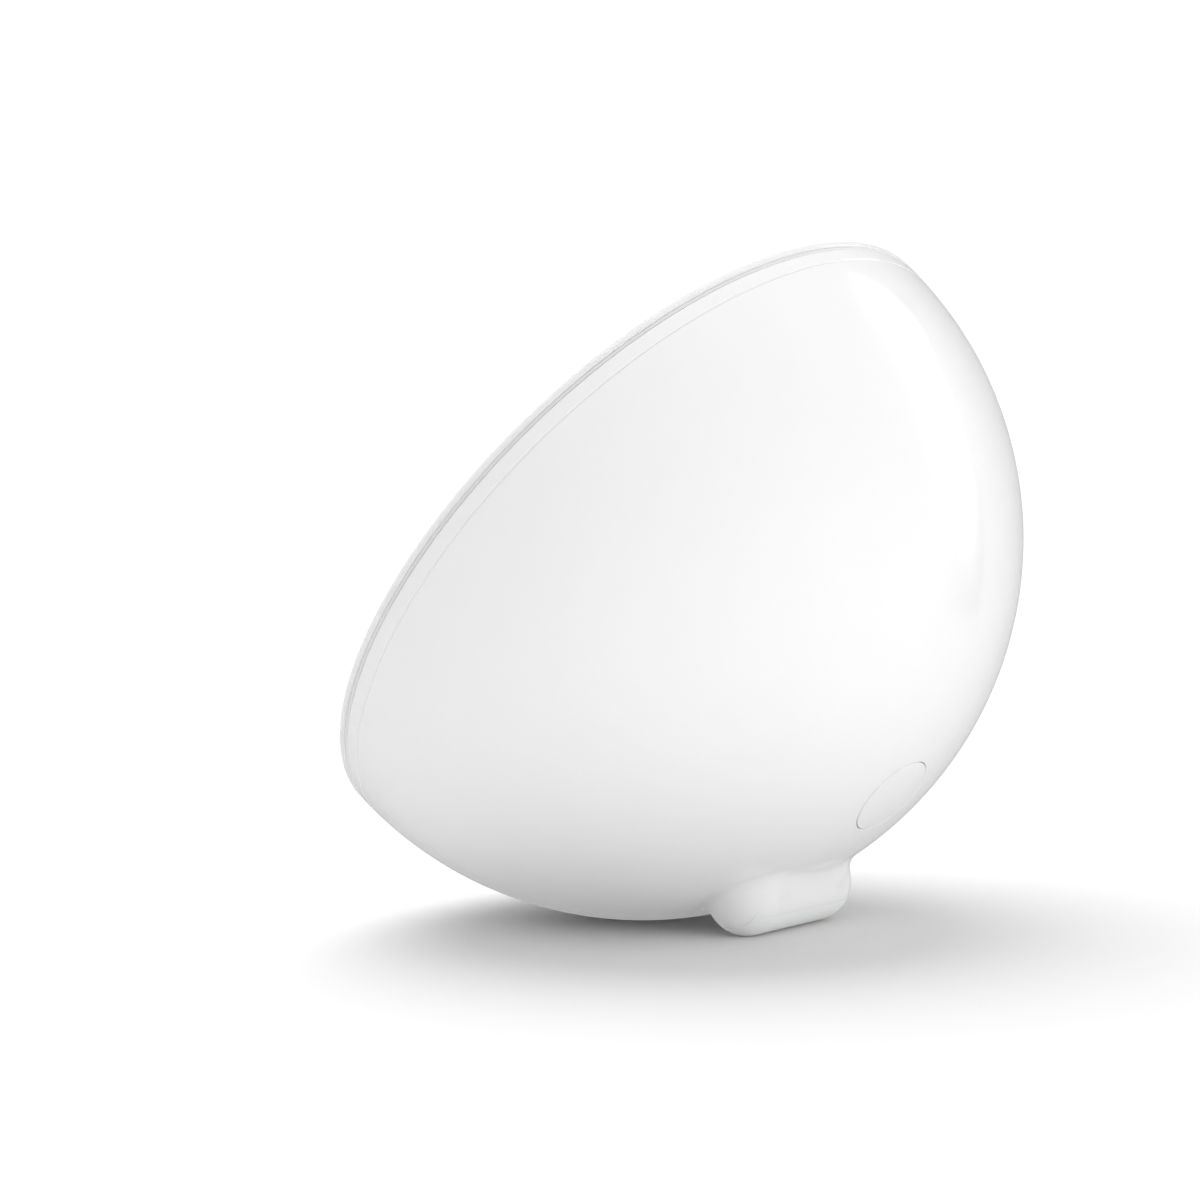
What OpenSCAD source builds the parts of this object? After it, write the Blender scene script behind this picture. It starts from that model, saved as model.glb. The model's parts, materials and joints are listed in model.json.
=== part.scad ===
// Portable table lamp: a round bowl that leans on a short bar foot, with a
// domed light panel across its mouth and a push button at the pole.
//
// The row frame has +Z up, the face turned to -Y and upwards, and the origin
// on the table under the middle of the lamp. Each piece is drawn in the lamp's
// own frame instead: its Z axis is the bowl's axis, Z = 0 is the plane of the
// front edge and the middle of the sphere, and the pole is at -Z. The module
// lean_back() sets the finished lamp down on the table.

/* [Bowl] */
// Outer radius of the round bowl
bowl_r = 75; // [70:1:110]
// Wall thickness of the bowl
wall = 2.6; // [2:0.1:3.2]
// Angle of the lamp's axis from upright while it leans on its foot
lean = 50; // [40:1:60]
// Distance of the fine moulded line behind the front edge
rim_line_back = 5.2; // [4.6:0.1:5.6]
// Width of the fine moulded line
rim_line_w = 0.35; // [0.2:0.05:0.5]
// Depth of the fine moulded line
rim_line_depth = 0.15; // [0.05:0.05:0.3]

/* [Light panel] */
// Height of the panel's dome in front of the front edge
dome_h = 4; // [2:0.5:8]
// Thickness of the panel's skin
panel_skin = 2.2; // [1.5:0.1:3]
// Thickness of the panel's edge, seen from the side
panel_edge = 1.35; // [1:0.05:2]
// Length of the skirt that plugs into the bowl, from the front edge
skirt_len = 9; // [8.6:0.1:12]
// Wall thickness of the skirt
skirt_t = 2; // [1.2:0.1:2.5]
// Width of the dark joint between panel and bowl
seam_w = 0.75; // [0.5:0.05:1.2]
// Depth of the dark joint
seam_depth = 0.65; // [0.3:0.05:1]
// Height of the snap bead on the skirt
bead_h = 0.7; // [0.4:0.1:0.8]

/* [Foot] */
// Radius of the bar foot
foot_r = 7.75; // [6:0.25:10]
// Half the length of the straight part of the foot
foot_half = 11.6; // [8:0.2:18]
// Thickness of the anti-slip pad let into the foot
pad_t = 0.8; // [0.5:0.1:1.5]
// Half the angle of the foot that the pad covers
pad_half_angle = 38; // [30:1:50]
// Length of the pad past the straight part of the foot, at each end
pad_past = 5; // [1:0.5:5.5]

/* [Button] */
// Radius of the round push button
button_r = 8.6; // [6:0.1:10.4]
// Gap around the button
button_gap = 0.25; // [0.15:0.05:0.4]
// Inward travel of the button
button_travel = 0.5; // [0.2:0.1:0.8]
// Width of the flange that keeps the button in
flange_w = 1.8; // [1.2:0.1:2.4]
// Thickness of the button's flange
flange_t = 1.2; // [0.8:0.1:1.6]
// Radius of the post that presses the switch
post_r = 2.5; // [1.5:0.1:3]
// Height from the button's flange to the switch plunger
post_h = 4.1; // [3:0.1:6]
// Thickness of the button's gasket
gasket_t = 0.5; // [0.3:0.1:0.8]
// Side of the square switch body
switch_w = 6.2; // [5:0.1:7]
// Height of the switch body
switch_h = 3.5; // [3:0.1:5]
// Radius of the switch plunger
plunger_r = 1.75; // [1.2:0.05:2]
// Length of the plunger outside the switch
plunger_out = 1.3; // [1:0.1:2]
// Length of the plunger inside the switch
plunger_in = 0.8; // [0.5:0.1:1.2]
// Length of the switch board
button_board_l = 36; // [34:1:42]
// Depth of the switch board
button_board_d = 15; // [12:1:18]

/* [Battery] */
// Diameter of one cell
cell_d = 18.4; // [18:0.1:22]
// Length of one cell
cell_l = 65; // [50:1:78]
// Gap between the two cells
cell_gap = 0.6; // [0.3:0.1:1.5]
// Shift of the cells off the foot's line, away from the button
battery_shift = 3; // [2:0.5:6]
// Distance kept between a cell's corner and the bowl
battery_margin = 3.5; // [3:0.5:6]
// Floor and wall thickness of the tray
tray_t = 2; // [1.5:0.1:2.5]
// Height of the tray's walls above the cells' axes
tray_rise = 3; // [0:0.5:5]
// Room for tabs and leads at each end of the cells
end_room = 2; // [1.8:0.1:3]
// Thickness of the battery's tabs
tab_t = 0.3; // [0.2:0.05:0.5]
// Width of the battery's tabs
tab_w = 8; // [5:0.5:8]

/* [Carrier] */
// Thickness of the carrier plate
chassis_t = 2; // [1.6:0.1:3]
// Space between the highest cell and the carrier plate
chassis_gap = 1.8; // [1:0.1:4]
// Distance kept between the carrier plate's edge and the bowl
chassis_margin = 6; // [4:0.5:8]
// Radius of the screw bosses under the carrier plate
boss_r = 3.6; // [3:0.1:4.5]
// Number of screw bosses under the carrier plate
boss_count = 3; // [3:1:3]

/* [Light engine] */
// Radius of the round LED board
led_board_r = 30; // [28:0.5:34]
// Thickness of the LED board
led_board_t = 1.6; // [1:0.2:2]
// Thickness of the heat-conducting pad under the LED board
thermal_t = 0.5; // [0.3:0.1:1]
// Radius of the aluminium heat spreader
spreader_r = 36; // [34:0.5:42]
// Thickness of the heat spreader
spreader_t = 3; // [2:0.5:5]
// Number of LEDs on the ring
led_count = 12; // [6:1:14]
// Radius of the ring of LEDs
led_ring_r = 15; // [13:0.5:17]
// Radius of the ring of screws that hold the LED board
led_screw_ring_r = 23.5; // [23:0.1:24]
// Radius of the way through for the LED leads
lead_hole_r = 2.2; // [2.1:0.1:2.4]
// Side of one LED package
led_w = 5; // [3:0.5:5]
// Height of one LED package
led_h = 1.4; // [0.8:0.1:2]
// Thickness of the reflector
reflector_t = 1.2; // [0.8:0.1:1.6]

/* [Main board] */
// Length of the main board
main_w = 64; // [56:1:68]
// Depth of the main board
main_d = 34; // [30:1:36]
// Distance from the lamp's axis to the main board's near edge
main_near = 8; // [8:0.5:12]
// Length of the spacers between the carrier plate and the main board
spacer_h = 6; // [5:0.5:7]

/* [Charging inlet] */
// Angle of the inlet from the bowl's pole
inlet_polar = 45; // [42:1:50]
// Distance kept between a cell and the inlet's bracket
inlet_gap = 1.2; // [1:0.2:4]
// Radius of the hole in the bowl for the plug's nose
inlet_r = 4.1; // [3.6:0.1:5]
// Radius of the barrel inside the inlet socket
barrel_r = 3.1; // [2.8:0.1:3.4]
// Depth of the barrel inside the inlet socket
barrel_depth = 9; // [7:0.5:11]
// Radius of the inlet's centre pin
pin_r = 1.05; // [0.8:0.05:1.25]
// Length of the socket behind the bowl's wall
socket_l = 14; // [12:0.5:16]

/* [Fasteners and boards] */
// Shank radius of the screws
screw_r = 1.25; // [1:0.05:1.5]
// Head radius of the screws
head_r = 2.3; // [2:0.1:2.8]
// Head height of the screws
head_h = 1.5; // [1:0.1:2]
// Thickness of the small circuit boards
board_t = 1.6; // [1:0.2:2]
// Clearance between pieces that are fitted together
fit_gap = 0.1; // [0.05:0.05:0.3]
// Radius of one insulated lead
lead_r = 0.7; // [0.5:0.05:1]

/* [Hidden] */
$fn = 96;
tiny = 0.01;                      // keeps faces of a cut from coinciding
lead_sides = 8;
white = "#f4f4f2";

// Bowl and panel
inner_r = bowl_r - wall;
lip_z = -panel_edge - seam_w;     // the bowl's own front edge
dome_r = (pow(bowl_r, 2) + pow(dome_h, 2)) / (2 * dome_h);
function inside_r(z) = sqrt(pow(inner_r, 2) - pow(z, 2));
skirt_r = inside_r(skirt_len) - 2 * fit_gap;
bead_z = -skirt_len + 2.6;
bead_len = 0.8;
bead_r = skirt_r + bead_h;
set_back_y = (bowl_r - bowl_r * cos(lean)) / 2;

// Foot: its line lies half way between the two resting points of the bowl, so
// the lamp rests on it both leaning and with its face straight up.
foot_angle = lean / 2;
foot_dist = (bowl_r - foot_r) / cos(foot_angle);

// Button, measured along the lamp's axis from the pole
seat_z = -inner_r + 0.2;          // flat seat of the gasket
flange_r = button_r + flange_w;
flange_z = seat_z + gasket_t;
post_z = flange_z + flange_t;
plunger_z = post_z + post_h;      // where post and plunger touch
switch_z = plunger_z + plunger_out;
button_board_z = switch_z + switch_h;
collar_in_r = flange_r + 0.4;
collar_r = collar_in_r + 2.2;
collar_h = flange_t + gasket_t + button_travel + 2;
button_boss_r = 2.8;
button_boss_x = collar_in_r + button_boss_r + 0.9;
button_boss_y = 1;

// Battery, in the frame of the foot's line
cell_r = cell_d / 2;
cell_pitch = cell_d + cell_gap;
cell_far = battery_shift + cell_pitch / 2;
cell_reach = sqrt(pow(inner_r - battery_margin, 2) - pow(cell_l / 2, 2)) - cell_r;
cell_depth = sqrt(pow(cell_reach, 2) - pow(cell_far, 2));
cell_ys = [-cell_far, cell_far - 2 * battery_shift];
tray_floor_z = -cell_depth - cell_r - fit_gap - tray_t;
tray_half_l = cell_l / 2 + end_room + tray_t;
tray_screw_x = foot_half + foot_r + 4;

// Carrier plate, along the lamp's axis
top_cell_z = cell_far * sin(foot_angle) - cell_depth * cos(foot_angle);
chassis_z = top_cell_z + cell_r + chassis_gap;
chassis_top = chassis_z + chassis_t;
chassis_r = inside_r(chassis_z) - chassis_margin;
boss_ring_r = chassis_r - boss_r - 2;
boss_turns = [for (i = [0 : boss_count - 1]) 90 + i * 360 / boss_count];

// Light engine, stacked on the carrier plate
spreader_top = chassis_top + spreader_t;
led_board_z = spreader_top + thermal_t;
led_board_top = led_board_z + led_board_t;
led_screw_boss_h = 1.5;
lead_hole = led_screw_ring_r * [cos(30), sin(30)];
reflector_base_r = led_board_r - 2.4;
reflector_top_z = -skirt_len;

// Main board, hung under the carrier plate
main_top = chassis_z - spacer_h;
main_z = main_top - board_t;
main_mid_y = main_near + main_d / 2;
main_hole_in = 3.5;
main_holes = [for (x = [-1, 1], y = [-1, 1])
              [x * (main_w / 2 - main_hole_in), main_mid_y + y * (main_d / 2 - main_hole_in)]];

// Charging inlet, along its own axis out of the middle of the sphere
inlet_seat = inner_r - 2.4;
socket_back = inlet_seat - socket_l;
socket_w = 9;
socket_d = 11;
inlet_boss_r = 2.8;
inlet_boss_y = socket_d / 2 + inlet_boss_r + 0.6;
bracket_t = 1.6;
bracket_half = inlet_boss_y + inlet_boss_r;
inlet_y = foot_point([0, cell_ys[1], -cell_depth])[1] + cell_r + inlet_gap + bracket_half;
inlet_turn = 180 - asin(inlet_y / (socket_back * sin(inlet_polar)));
inlet_lead_step = 1.2;

// ---------------------------------------------------------------- frames

// Sets the finished lamp down on the table, leaning on its foot
module lean_back() {
    translate([0, -set_back_y, bowl_r]) rotate([lean, 0, 0]) children();
}

// -Z runs from the middle of the sphere through the foot
module at_foot() {
    rotate([-foot_angle, 0, 0]) children();
}

// +Z runs from the middle of the sphere out through the charging inlet
module at_inlet() {
    rotate([0, 0, inlet_turn]) rotate([0, 180 - inlet_polar, 0]) children();
}

// The same turn as at_foot(), for a point
function foot_point(p) = [p[0],
                          p[1] * cos(foot_angle) + p[2] * sin(foot_angle),
                          -p[1] * sin(foot_angle) + p[2] * cos(foot_angle)];

// The same turn as at_inlet(), for a point
function inlet_point(p) = let (a = 180 - inlet_polar,
                               x = p[0] * cos(a) + p[2] * sin(a),
                               z = -p[0] * sin(a) + p[2] * cos(a))
    [x * cos(inlet_turn) - p[1] * sin(inlet_turn),
     x * sin(inlet_turn) + p[1] * cos(inlet_turn), z];

// --------------------------------------------------------------- helpers

module tube(r_out, r_in, h) {
    difference() {
        cylinder(r = r_out, h = h);
        translate([0, 0, -1]) cylinder(r = r_in, h = h + 2);
    }
}

// A bar with ball ends, along X
module bar(r, half) {
    rotate([0, 90, 0]) translate([0, 0, -half]) cylinder(r = r, h = 2 * half);
    for (s = [-1, 1]) translate([s * half, 0, 0]) sphere(r = r);
}

// A pan-head screw: the head's underside is at z = 0 and the shank runs to -Z
module screw(length) {
    translate([0, 0, -length]) cylinder(r = screw_r, h = length + tiny);
    difference() {
        cylinder(r = head_r, h = head_h);
        translate([0, 0, head_h / 2]) cylinder(r = head_r * 0.45, h = head_h, $fn = 6);
    }
}

// A blind hole for a screw whose boss ends at z = 0, running to -Z
module screw_hole(depth) {
    translate([0, 0, -depth]) cylinder(r = screw_r, h = depth + 1);
}

// A flat plate with a centre at x = y = 0 and its underside at z = 0
module plate(x, y, z) {
    translate([-x / 2, -y / 2, 0]) cube([x, y, z]);
}

// Rounds the corners of a route by cutting each one twice
function rounded(p, times = 2) = times == 0 ? p : rounded(concat([p[0]],
    [for (i = [0 : len(p) - 2]) each [p[i] * 0.75 + p[i + 1] * 0.25,
                                      p[i] * 0.25 + p[i + 1] * 0.75]],
    [p[len(p) - 1]]), times - 1);

function unit(v) = v / norm(v);

// The direction of a route at point i
function along(p, i) = unit(p[min(i + 1, len(p) - 1)] - p[max(i - 1, 0)]);

// A ring of lead_sides points around point i of a route
function lead_ring(p, i) =
    let (t = along(p, i),
         u = unit(cross(t, [0.31, 0.89, 0.33])),
         v = cross(t, u))
    [for (k = [0 : lead_sides - 1])
        p[i] + lead_r * (cos(k * 360 / lead_sides) * u + sin(k * 360 / lead_sides) * v)];

// An insulated lead along a list of points, with round corners
module lead(points) {
    p = rounded(points);
    last = (len(p) - 1) * lead_sides;
    polyhedron(
        points = [for (i = [0 : len(p) - 1]) each lead_ring(p, i)],
        faces = [for (i = [0 : lead_sides : last - 1], k = [0 : lead_sides - 1])
                     let (a = i + k, b = i + (k + 1) % lead_sides)
                     [a + lead_sides, b + lead_sides, b, a],
                 [for (k = [0 : lead_sides - 1]) k],
                 [for (k = [lead_sides - 1 : -1 : 0]) last + k]],
        convexity = 6);
}

module around(turns, r) {
    for (a = turns) rotate([0, 0, a]) translate([r, 0, 0]) children();
}

// ------------------------------------------------------- bowl and panel

// The part of the foot's skin that the pad replaces, grown by grow
module pad_zone(grow) {
    a = pad_half_angle + grow * 180 / (PI * foot_r);
    reach = 2 * foot_r;
    half = foot_half + pad_past + grow;
    translate([-half, 0, -foot_dist])
        rotate([90, 0, 90])
            linear_extrude(height = 2 * half)
                polygon([[0, 0], [-reach * tan(a), -reach], [reach * tan(a), -reach]]);
}

module foot_bar(r) {
    translate([0, 0, -foot_dist]) bar(r, foot_half);
}

module bowl_bosses() {
    around(boss_turns, boss_ring_r)
        translate([0, 0, -bowl_r]) cylinder(r = boss_r, h = bowl_r + chassis_z);
    for (s = [-1, 1])
        translate([s * button_boss_x, button_boss_y, -bowl_r])
            cylinder(r = button_boss_r, h = bowl_r + button_board_z);
    translate([0, 0, -bowl_r]) cylinder(r = collar_r, h = bowl_r + seat_z + collar_h);
    at_foot()
        for (s = [-1, 1])
            translate([s * tray_screw_x, -battery_shift, -bowl_r])
                cylinder(r = button_boss_r, h = bowl_r + tray_floor_z);
    at_inlet() {
        translate([0, 0, inlet_seat]) cylinder(r = inlet_r + 3.4, h = bowl_r);
        for (s = [-1, 1])
            translate([0, s * inlet_boss_y, socket_back])
                cylinder(r = inlet_boss_r, h = bowl_r);
    }
}

module bowl_screw_holes() {
    around(boss_turns, boss_ring_r) translate([0, 0, chassis_z]) screw_hole(9);
    for (s = [-1, 1])
        translate([s * button_boss_x, button_boss_y, button_board_z]) screw_hole(6);
    at_foot()
        for (s = [-1, 1])
            translate([s * tray_screw_x, -battery_shift, tray_floor_z]) screw_hole(4);
    at_inlet()
        for (s = [-1, 1])
            translate([0, s * inlet_boss_y, socket_back]) rotate([180, 0, 0]) screw_hole(6);
}

module bowl_shell() {
    color(white) lean_back() difference() {
        union() {
            difference() {
                union() {
                    sphere(r = bowl_r);
                    at_foot() foot_bar(foot_r);
                }
                sphere(r = inner_r);
                at_foot() foot_bar(foot_r - wall);
            }
            intersection() {
                sphere(r = bowl_r - wall / 2);
                bowl_bosses();
            }
        }
        // front edge, snap groove and fine moulded line
        translate([-2 * bowl_r, -2 * bowl_r, lip_z]) cube(4 * bowl_r);
        translate([0, 0, bead_z - 0.2]) cylinder(r = bead_r + 4 * fit_gap, h = bead_len + 0.4);
        translate([0, 0, -rim_line_back - rim_line_w / 2])
            tube(bowl_r + 1, bowl_r - rim_line_depth, rim_line_w);
        // pad's recess
        at_foot() intersection() {
            difference() {
                foot_bar(foot_r + 1);
                foot_bar(foot_r - pad_t - fit_gap / 2);
            }
            pad_zone(fit_gap);
        }
        // button's hole and the seat of its flange
        translate([0, 0, -bowl_r - 1]) cylinder(r = button_r + button_gap, h = bowl_r);
        translate([0, 0, seat_z]) cylinder(r = collar_in_r, h = bowl_r / 2);
        // inlet's hole
        at_inlet() cylinder(r = inlet_r, h = bowl_r + 1);
        bowl_screw_holes();
    }
}

module front_panel() {
    color(white) lean_back() difference() {
        union() {
            intersection() {
                translate([0, 0, dome_h - dome_r]) sphere(r = dome_r);
                translate([0, 0, -panel_edge]) cylinder(r = bowl_r, h = panel_edge + dome_h + 1);
            }
            translate([0, 0, -skirt_len]) cylinder(r = skirt_r, h = skirt_len - panel_edge + tiny);
            translate([0, 0, bead_z]) cylinder(r = bead_r, h = bead_len);
        }
        intersection() {
            translate([0, 0, dome_h - dome_r]) sphere(r = dome_r - panel_skin);
            translate([0, 0, -skirt_len - 1])
                cylinder(r = skirt_r - skirt_t, h = skirt_len + dome_h + 1);
        }
    }
}

module rim_seal() {
    color("#77787a") lean_back()
        translate([0, 0, lip_z]) tube(bowl_r - seam_depth, skirt_r + 3 * fit_gap, seam_w);
}

module foot_pad() {
    color("#e9eae8") lean_back() at_foot() intersection() {
        difference() {
            foot_bar(foot_r);
            foot_bar(foot_r - pad_t);
        }
        pad_zone(0);
    }
}

// ---------------------------------------------------------------- button

module power_button() {
    color(white) lean_back() {
        intersection() {
            sphere(r = bowl_r);
            translate([0, 0, -bowl_r - 1]) cylinder(r = button_r, h = bowl_r + 1 + flange_z + tiny);
        }
        translate([0, 0, flange_z]) cylinder(r = flange_r, h = flange_t);
        translate([0, 0, post_z - tiny]) cylinder(r = post_r, h = post_h + tiny);
    }
}

module button_gasket() {
    color("#c9cacb") lean_back()
        translate([0, 0, seat_z])
            tube(flange_r, button_r + 2 * button_gap, gasket_t);
}

module tact_switch() {
    color("#26282b") lean_back() translate([0, 0, switch_z]) difference() {
        plate(switch_w, switch_w, switch_h);
        translate([0, 0, -1])
            cylinder(r = plunger_r + fit_gap, h = 1 + plunger_in + button_travel + 0.3);
    }
}

module switch_plunger() {
    color("#d8c9a0") lean_back()
        translate([0, 0, plunger_z]) cylinder(r = plunger_r, h = plunger_out + plunger_in);
}

module button_board() {
    color("#1f6b3f") lean_back() translate([0, button_boss_y, button_board_z]) difference() {
        plate(button_board_l, button_board_d, board_t);
        for (s = [-1, 1])
            translate([s * button_boss_x, 0, -1]) cylinder(r = screw_r + fit_gap, h = board_t + 2);
    }
}

module button_board_screws() {
    color("silver") lean_back()
        for (s = [-1, 1])
            translate([s * button_boss_x, button_boss_y, button_board_z + board_t]) screw(6);
}

// --------------------------------------------------------------- battery

// The space that the button, its board and its leads need below the battery
module button_space() {
    translate([0, button_boss_y, -bowl_r])
        plate(button_board_l + 3, button_board_d + 2, bowl_r + button_board_z + board_t + 4);
}

module battery_tray() {
    color("#3a3d40") lean_back() difference() {
        at_foot() difference() {
            intersection() {
                translate([-tray_half_l, -cell_far - cell_r - tray_t, tray_floor_z])
                    cube([2 * tray_half_l,
                          cell_pitch + cell_d + 2 * tray_t,
                          tray_t + fit_gap + cell_r + tray_rise]);
                sphere(r = inner_r - 5 * fit_gap);
            }
            for (y = cell_ys)
                translate([-cell_l / 2 - end_room, y, -cell_depth]) {
                    rotate([0, 90, 0]) cylinder(r = cell_r + fit_gap, h = cell_l + 2 * end_room);
                    translate([0, -cell_r - fit_gap, 0])
                        cube([cell_l + 2 * end_room, cell_d + 2 * fit_gap, cell_d]);
                }
            for (s = [-1, 1])
                translate([s * (cell_l + end_room) / 2, -battery_shift, -cell_depth - tab_w / 2 - 1])
                    plate(end_room, cell_pitch + tab_w + 2, cell_d);
            // screw places in the valley between the cells
            for (s = [-1, 1])
                translate([s * tray_screw_x, -battery_shift, tray_floor_z]) {
                    translate([0, 0, -1]) cylinder(r = screw_r + fit_gap, h = 2 * cell_r);
                    translate([0, 0, tray_t]) cylinder(r = head_r + 2 * fit_gap, h = 2 * cell_r);
                }
        }
        button_space();
    }
}

module battery_tray_screws() {
    color("silver") lean_back() at_foot()
        for (s = [-1, 1])
            translate([s * tray_screw_x, -battery_shift, tray_floor_z + tray_t])
                screw(tray_t + 3);
}

module battery_cells() {
    color("#2f6fb0") lean_back() at_foot()
        for (y = cell_ys)
            translate([-cell_l / 2, y, -cell_depth]) rotate([0, 90, 0])
                cylinder(r = cell_r, h = cell_l);
}

module battery_tabs() {
    color("#c8c8c4") lean_back() at_foot() {
        translate([-cell_l / 2 - tab_t, cell_ys[0] - tab_w / 2, -cell_depth - tab_w / 2])
            cube([tab_t, cell_pitch + tab_w, tab_w]);
        for (y = cell_ys)
            translate([cell_l / 2, y - tab_w / 2, -cell_depth - tab_w / 2])
                cube([tab_t, tab_w, tab_w]);
    }
}

module battery_foam() {
    high = foot_point([0, -cell_far, -cell_depth]);
    color("#565a5e") lean_back() difference() {
        translate([0, high[1], chassis_z - chassis_gap - 4]) plate(30, 12, chassis_gap + 4);
        at_foot() for (y = cell_ys)
            translate([-cell_l / 2, y, -cell_depth]) rotate([0, 90, 0])
                cylinder(r = cell_r + fit_gap / 2, h = cell_l);
    }
}

// --------------------------------------------------------------- carrier

module chassis_plate() {
    color("#d9dad8") lean_back() difference() {
        union() {
            translate([0, 0, chassis_z]) cylinder(r = chassis_r, h = chassis_t);
            around(boss_turns, led_screw_ring_r)
                translate([0, 0, chassis_z - led_screw_boss_h])
                    cylinder(r = screw_r + 1.6, h = led_screw_boss_h + tiny);
            for (p = main_holes)
                translate([p[0], p[1], main_top]) cylinder(r = 3, h = spacer_h + tiny);
        }
        around(boss_turns, boss_ring_r)
            translate([0, 0, chassis_z - 1]) cylinder(r = screw_r + fit_gap, h = chassis_t + 2);
        around(boss_turns, led_screw_ring_r)
            translate([0, 0, chassis_z - led_screw_boss_h - 1])
                cylinder(r = screw_r, h = chassis_t + led_screw_boss_h + 2);
        for (p = main_holes)
            translate([p[0], p[1], main_top]) rotate([180, 0, 0]) screw_hole(spacer_h - 1);
        led_lead_way();
    }
}

module chassis_screws() {
    color("silver") lean_back()
        around(boss_turns, boss_ring_r) translate([0, 0, chassis_top]) screw(chassis_t + 8);
}

// ---------------------------------------------------------- light engine

// The way through for the LED leads, from under the carrier plate upwards
module led_lead_way() {
    translate([lead_hole[0], lead_hole[1], chassis_z - 1]) cylinder(r = lead_hole_r, h = bowl_r);
}

module heat_spreader() {
    color("#b9bcc0") lean_back() difference() {
        translate([0, 0, chassis_top]) cylinder(r = spreader_r, h = spreader_t);
        around(boss_turns, led_screw_ring_r)
            translate([0, 0, chassis_top - 1]) cylinder(r = screw_r + fit_gap, h = spreader_t + 2);
        led_lead_way();
    }
}

module thermal_pad() {
    color("#8d97a3") lean_back() difference() {
        translate([0, 0, spreader_top]) cylinder(r = led_board_r - 1, h = thermal_t);
        around(boss_turns, led_screw_ring_r)
            translate([0, 0, spreader_top - 1]) cylinder(r = screw_r + fit_gap, h = thermal_t + 2);
        led_lead_way();
    }
}

module led_board() {
    color(white) lean_back() difference() {
        translate([0, 0, led_board_z]) cylinder(r = led_board_r, h = led_board_t);
        around(boss_turns, led_screw_ring_r)
            translate([0, 0, led_board_z - 1])
                cylinder(r = screw_r + fit_gap, h = led_board_t + 2);
        led_lead_way();
    }
}

module led_packages() {
    color("#f0d860") lean_back()
        around([for (i = [0 : led_count - 1]) i * 360 / led_count], led_ring_r)
            translate([0, 0, led_board_top]) plate(led_w, led_w, led_h);
}

module led_board_screws() {
    reach = led_board_t + thermal_t + spreader_t + chassis_t + led_screw_boss_h;
    color("silver") lean_back()
        around(boss_turns, led_screw_ring_r) translate([0, 0, led_board_top]) screw(reach);
}

module reflector() {
    top_r = skirt_r - skirt_t - 1.5;
    edge_r = skirt_r - 5 * fit_gap;
    color(white) lean_back() rotate_extrude()
        polygon([[reflector_base_r, led_board_top],
                 [reflector_base_r + 2, led_board_top],
                 [top_r + reflector_t, reflector_top_z - reflector_t],
                 [edge_r, reflector_top_z - reflector_t],
                 [edge_r, reflector_top_z],
                 [top_r, reflector_top_z],
                 [reflector_base_r, led_board_top + reflector_t]]);
}

// ------------------------------------------------------------ main board

module main_board() {
    color("#1f6b3f") lean_back() difference() {
        translate([0, main_mid_y, main_z]) plate(main_w, main_d, board_t);
        for (p = main_holes)
            translate([p[0], p[1], main_z - 1]) cylinder(r = screw_r + fit_gap, h = board_t + 2);
    }
}

// Parts on the underside: each is [x, y from the near edge, length, depth, height]
chips = [[-14, 14, 10, 10, 1.2], [4, 12, 7, 7, 1], [18, 16, 8, 8, 4],
         [-2, 25, 6, 5, 1.2], [-20, 27, 5, 5, 2.2], [11, 27, 4, 3, 1.1]];
can_at = [20, 27];
can_r = 3.2;

module main_board_parts() {
    color("#2b2d31") lean_back() {
        for (c = chips)
            translate([c[0], main_near + c[1], main_z - c[4]]) plate(c[2], c[3], c[4]);
        translate([can_at[0], main_near + can_at[1], main_z - 6]) cylinder(r = can_r, h = 6);
    }
}

module main_board_screws() {
    color("silver") lean_back()
        for (p = main_holes)
            translate([p[0], p[1], main_z]) rotate([180, 0, 0]) screw(board_t + spacer_h - 2);
}

module wireless_module() {
    color("#9aa0a4") lean_back()
        translate([0, main_near + main_d - 9, main_top]) plate(18, 14, 2.6);
}

// Sockets along the near edge: LED, inlet, battery and switch, in X
socket_xs = [22, -22, 8, -8];
socket_h = 4.5;
socket_y = main_near + 3.5;

module board_sockets() {
    color("#efeee8") lean_back()
        for (x = socket_xs)
            translate([x, socket_y, main_z - socket_h]) plate(6, 5, socket_h);
}

// ---------------------------------------------------------------- inlet

module inlet_socket() {
    color("#222427") lean_back() at_inlet() difference() {
        translate([0, 0, socket_back]) plate(socket_w, socket_d, socket_l);
        translate([0, 0, inlet_seat - barrel_depth])
            cylinder(r = barrel_r, h = barrel_depth + 1);
        translate([0, 0, inlet_seat - barrel_depth - 2])
            cylinder(r = pin_r, h = 3);
    }
}

module inlet_pin() {
    color("#d6d2c4") lean_back() at_inlet()
        translate([0, 0, inlet_seat - barrel_depth - 2])
            cylinder(r = pin_r, h = barrel_depth + 1);
}

module inlet_bracket() {
    color("#aeb1b5") lean_back() at_inlet() translate([0, 0, socket_back - bracket_t])
        difference() {
            plate(socket_w - 1, 2 * bracket_half, bracket_t);
            for (s = [-1, 1])
                translate([0, s * inlet_boss_y, -1])
                    cylinder(r = screw_r + fit_gap, h = bracket_t + 2);
            // way through for the leads to the socket's terminals
            translate([0, 0, -1]) cylinder(r = inlet_lead_step + 2 * lead_r, h = bracket_t + 2);
        }
}

module inlet_screws() {
    color("silver") lean_back() at_inlet()
        for (s = [-1, 1])
            translate([0, s * inlet_boss_y, socket_back - bracket_t])
                rotate([180, 0, 0]) screw(bracket_t + 5);
}

// ----------------------------------------------------------------- leads

lead_top = main_z - socket_h;     // where leads enter the sockets

// Two leads side by side, each half a step away from the route
module lead_pair(points, half_step = [0.85, 0.85, 0]) {
    for (s = [-1, 1]) lead([for (p = points) p + s * half_step]);
}

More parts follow.
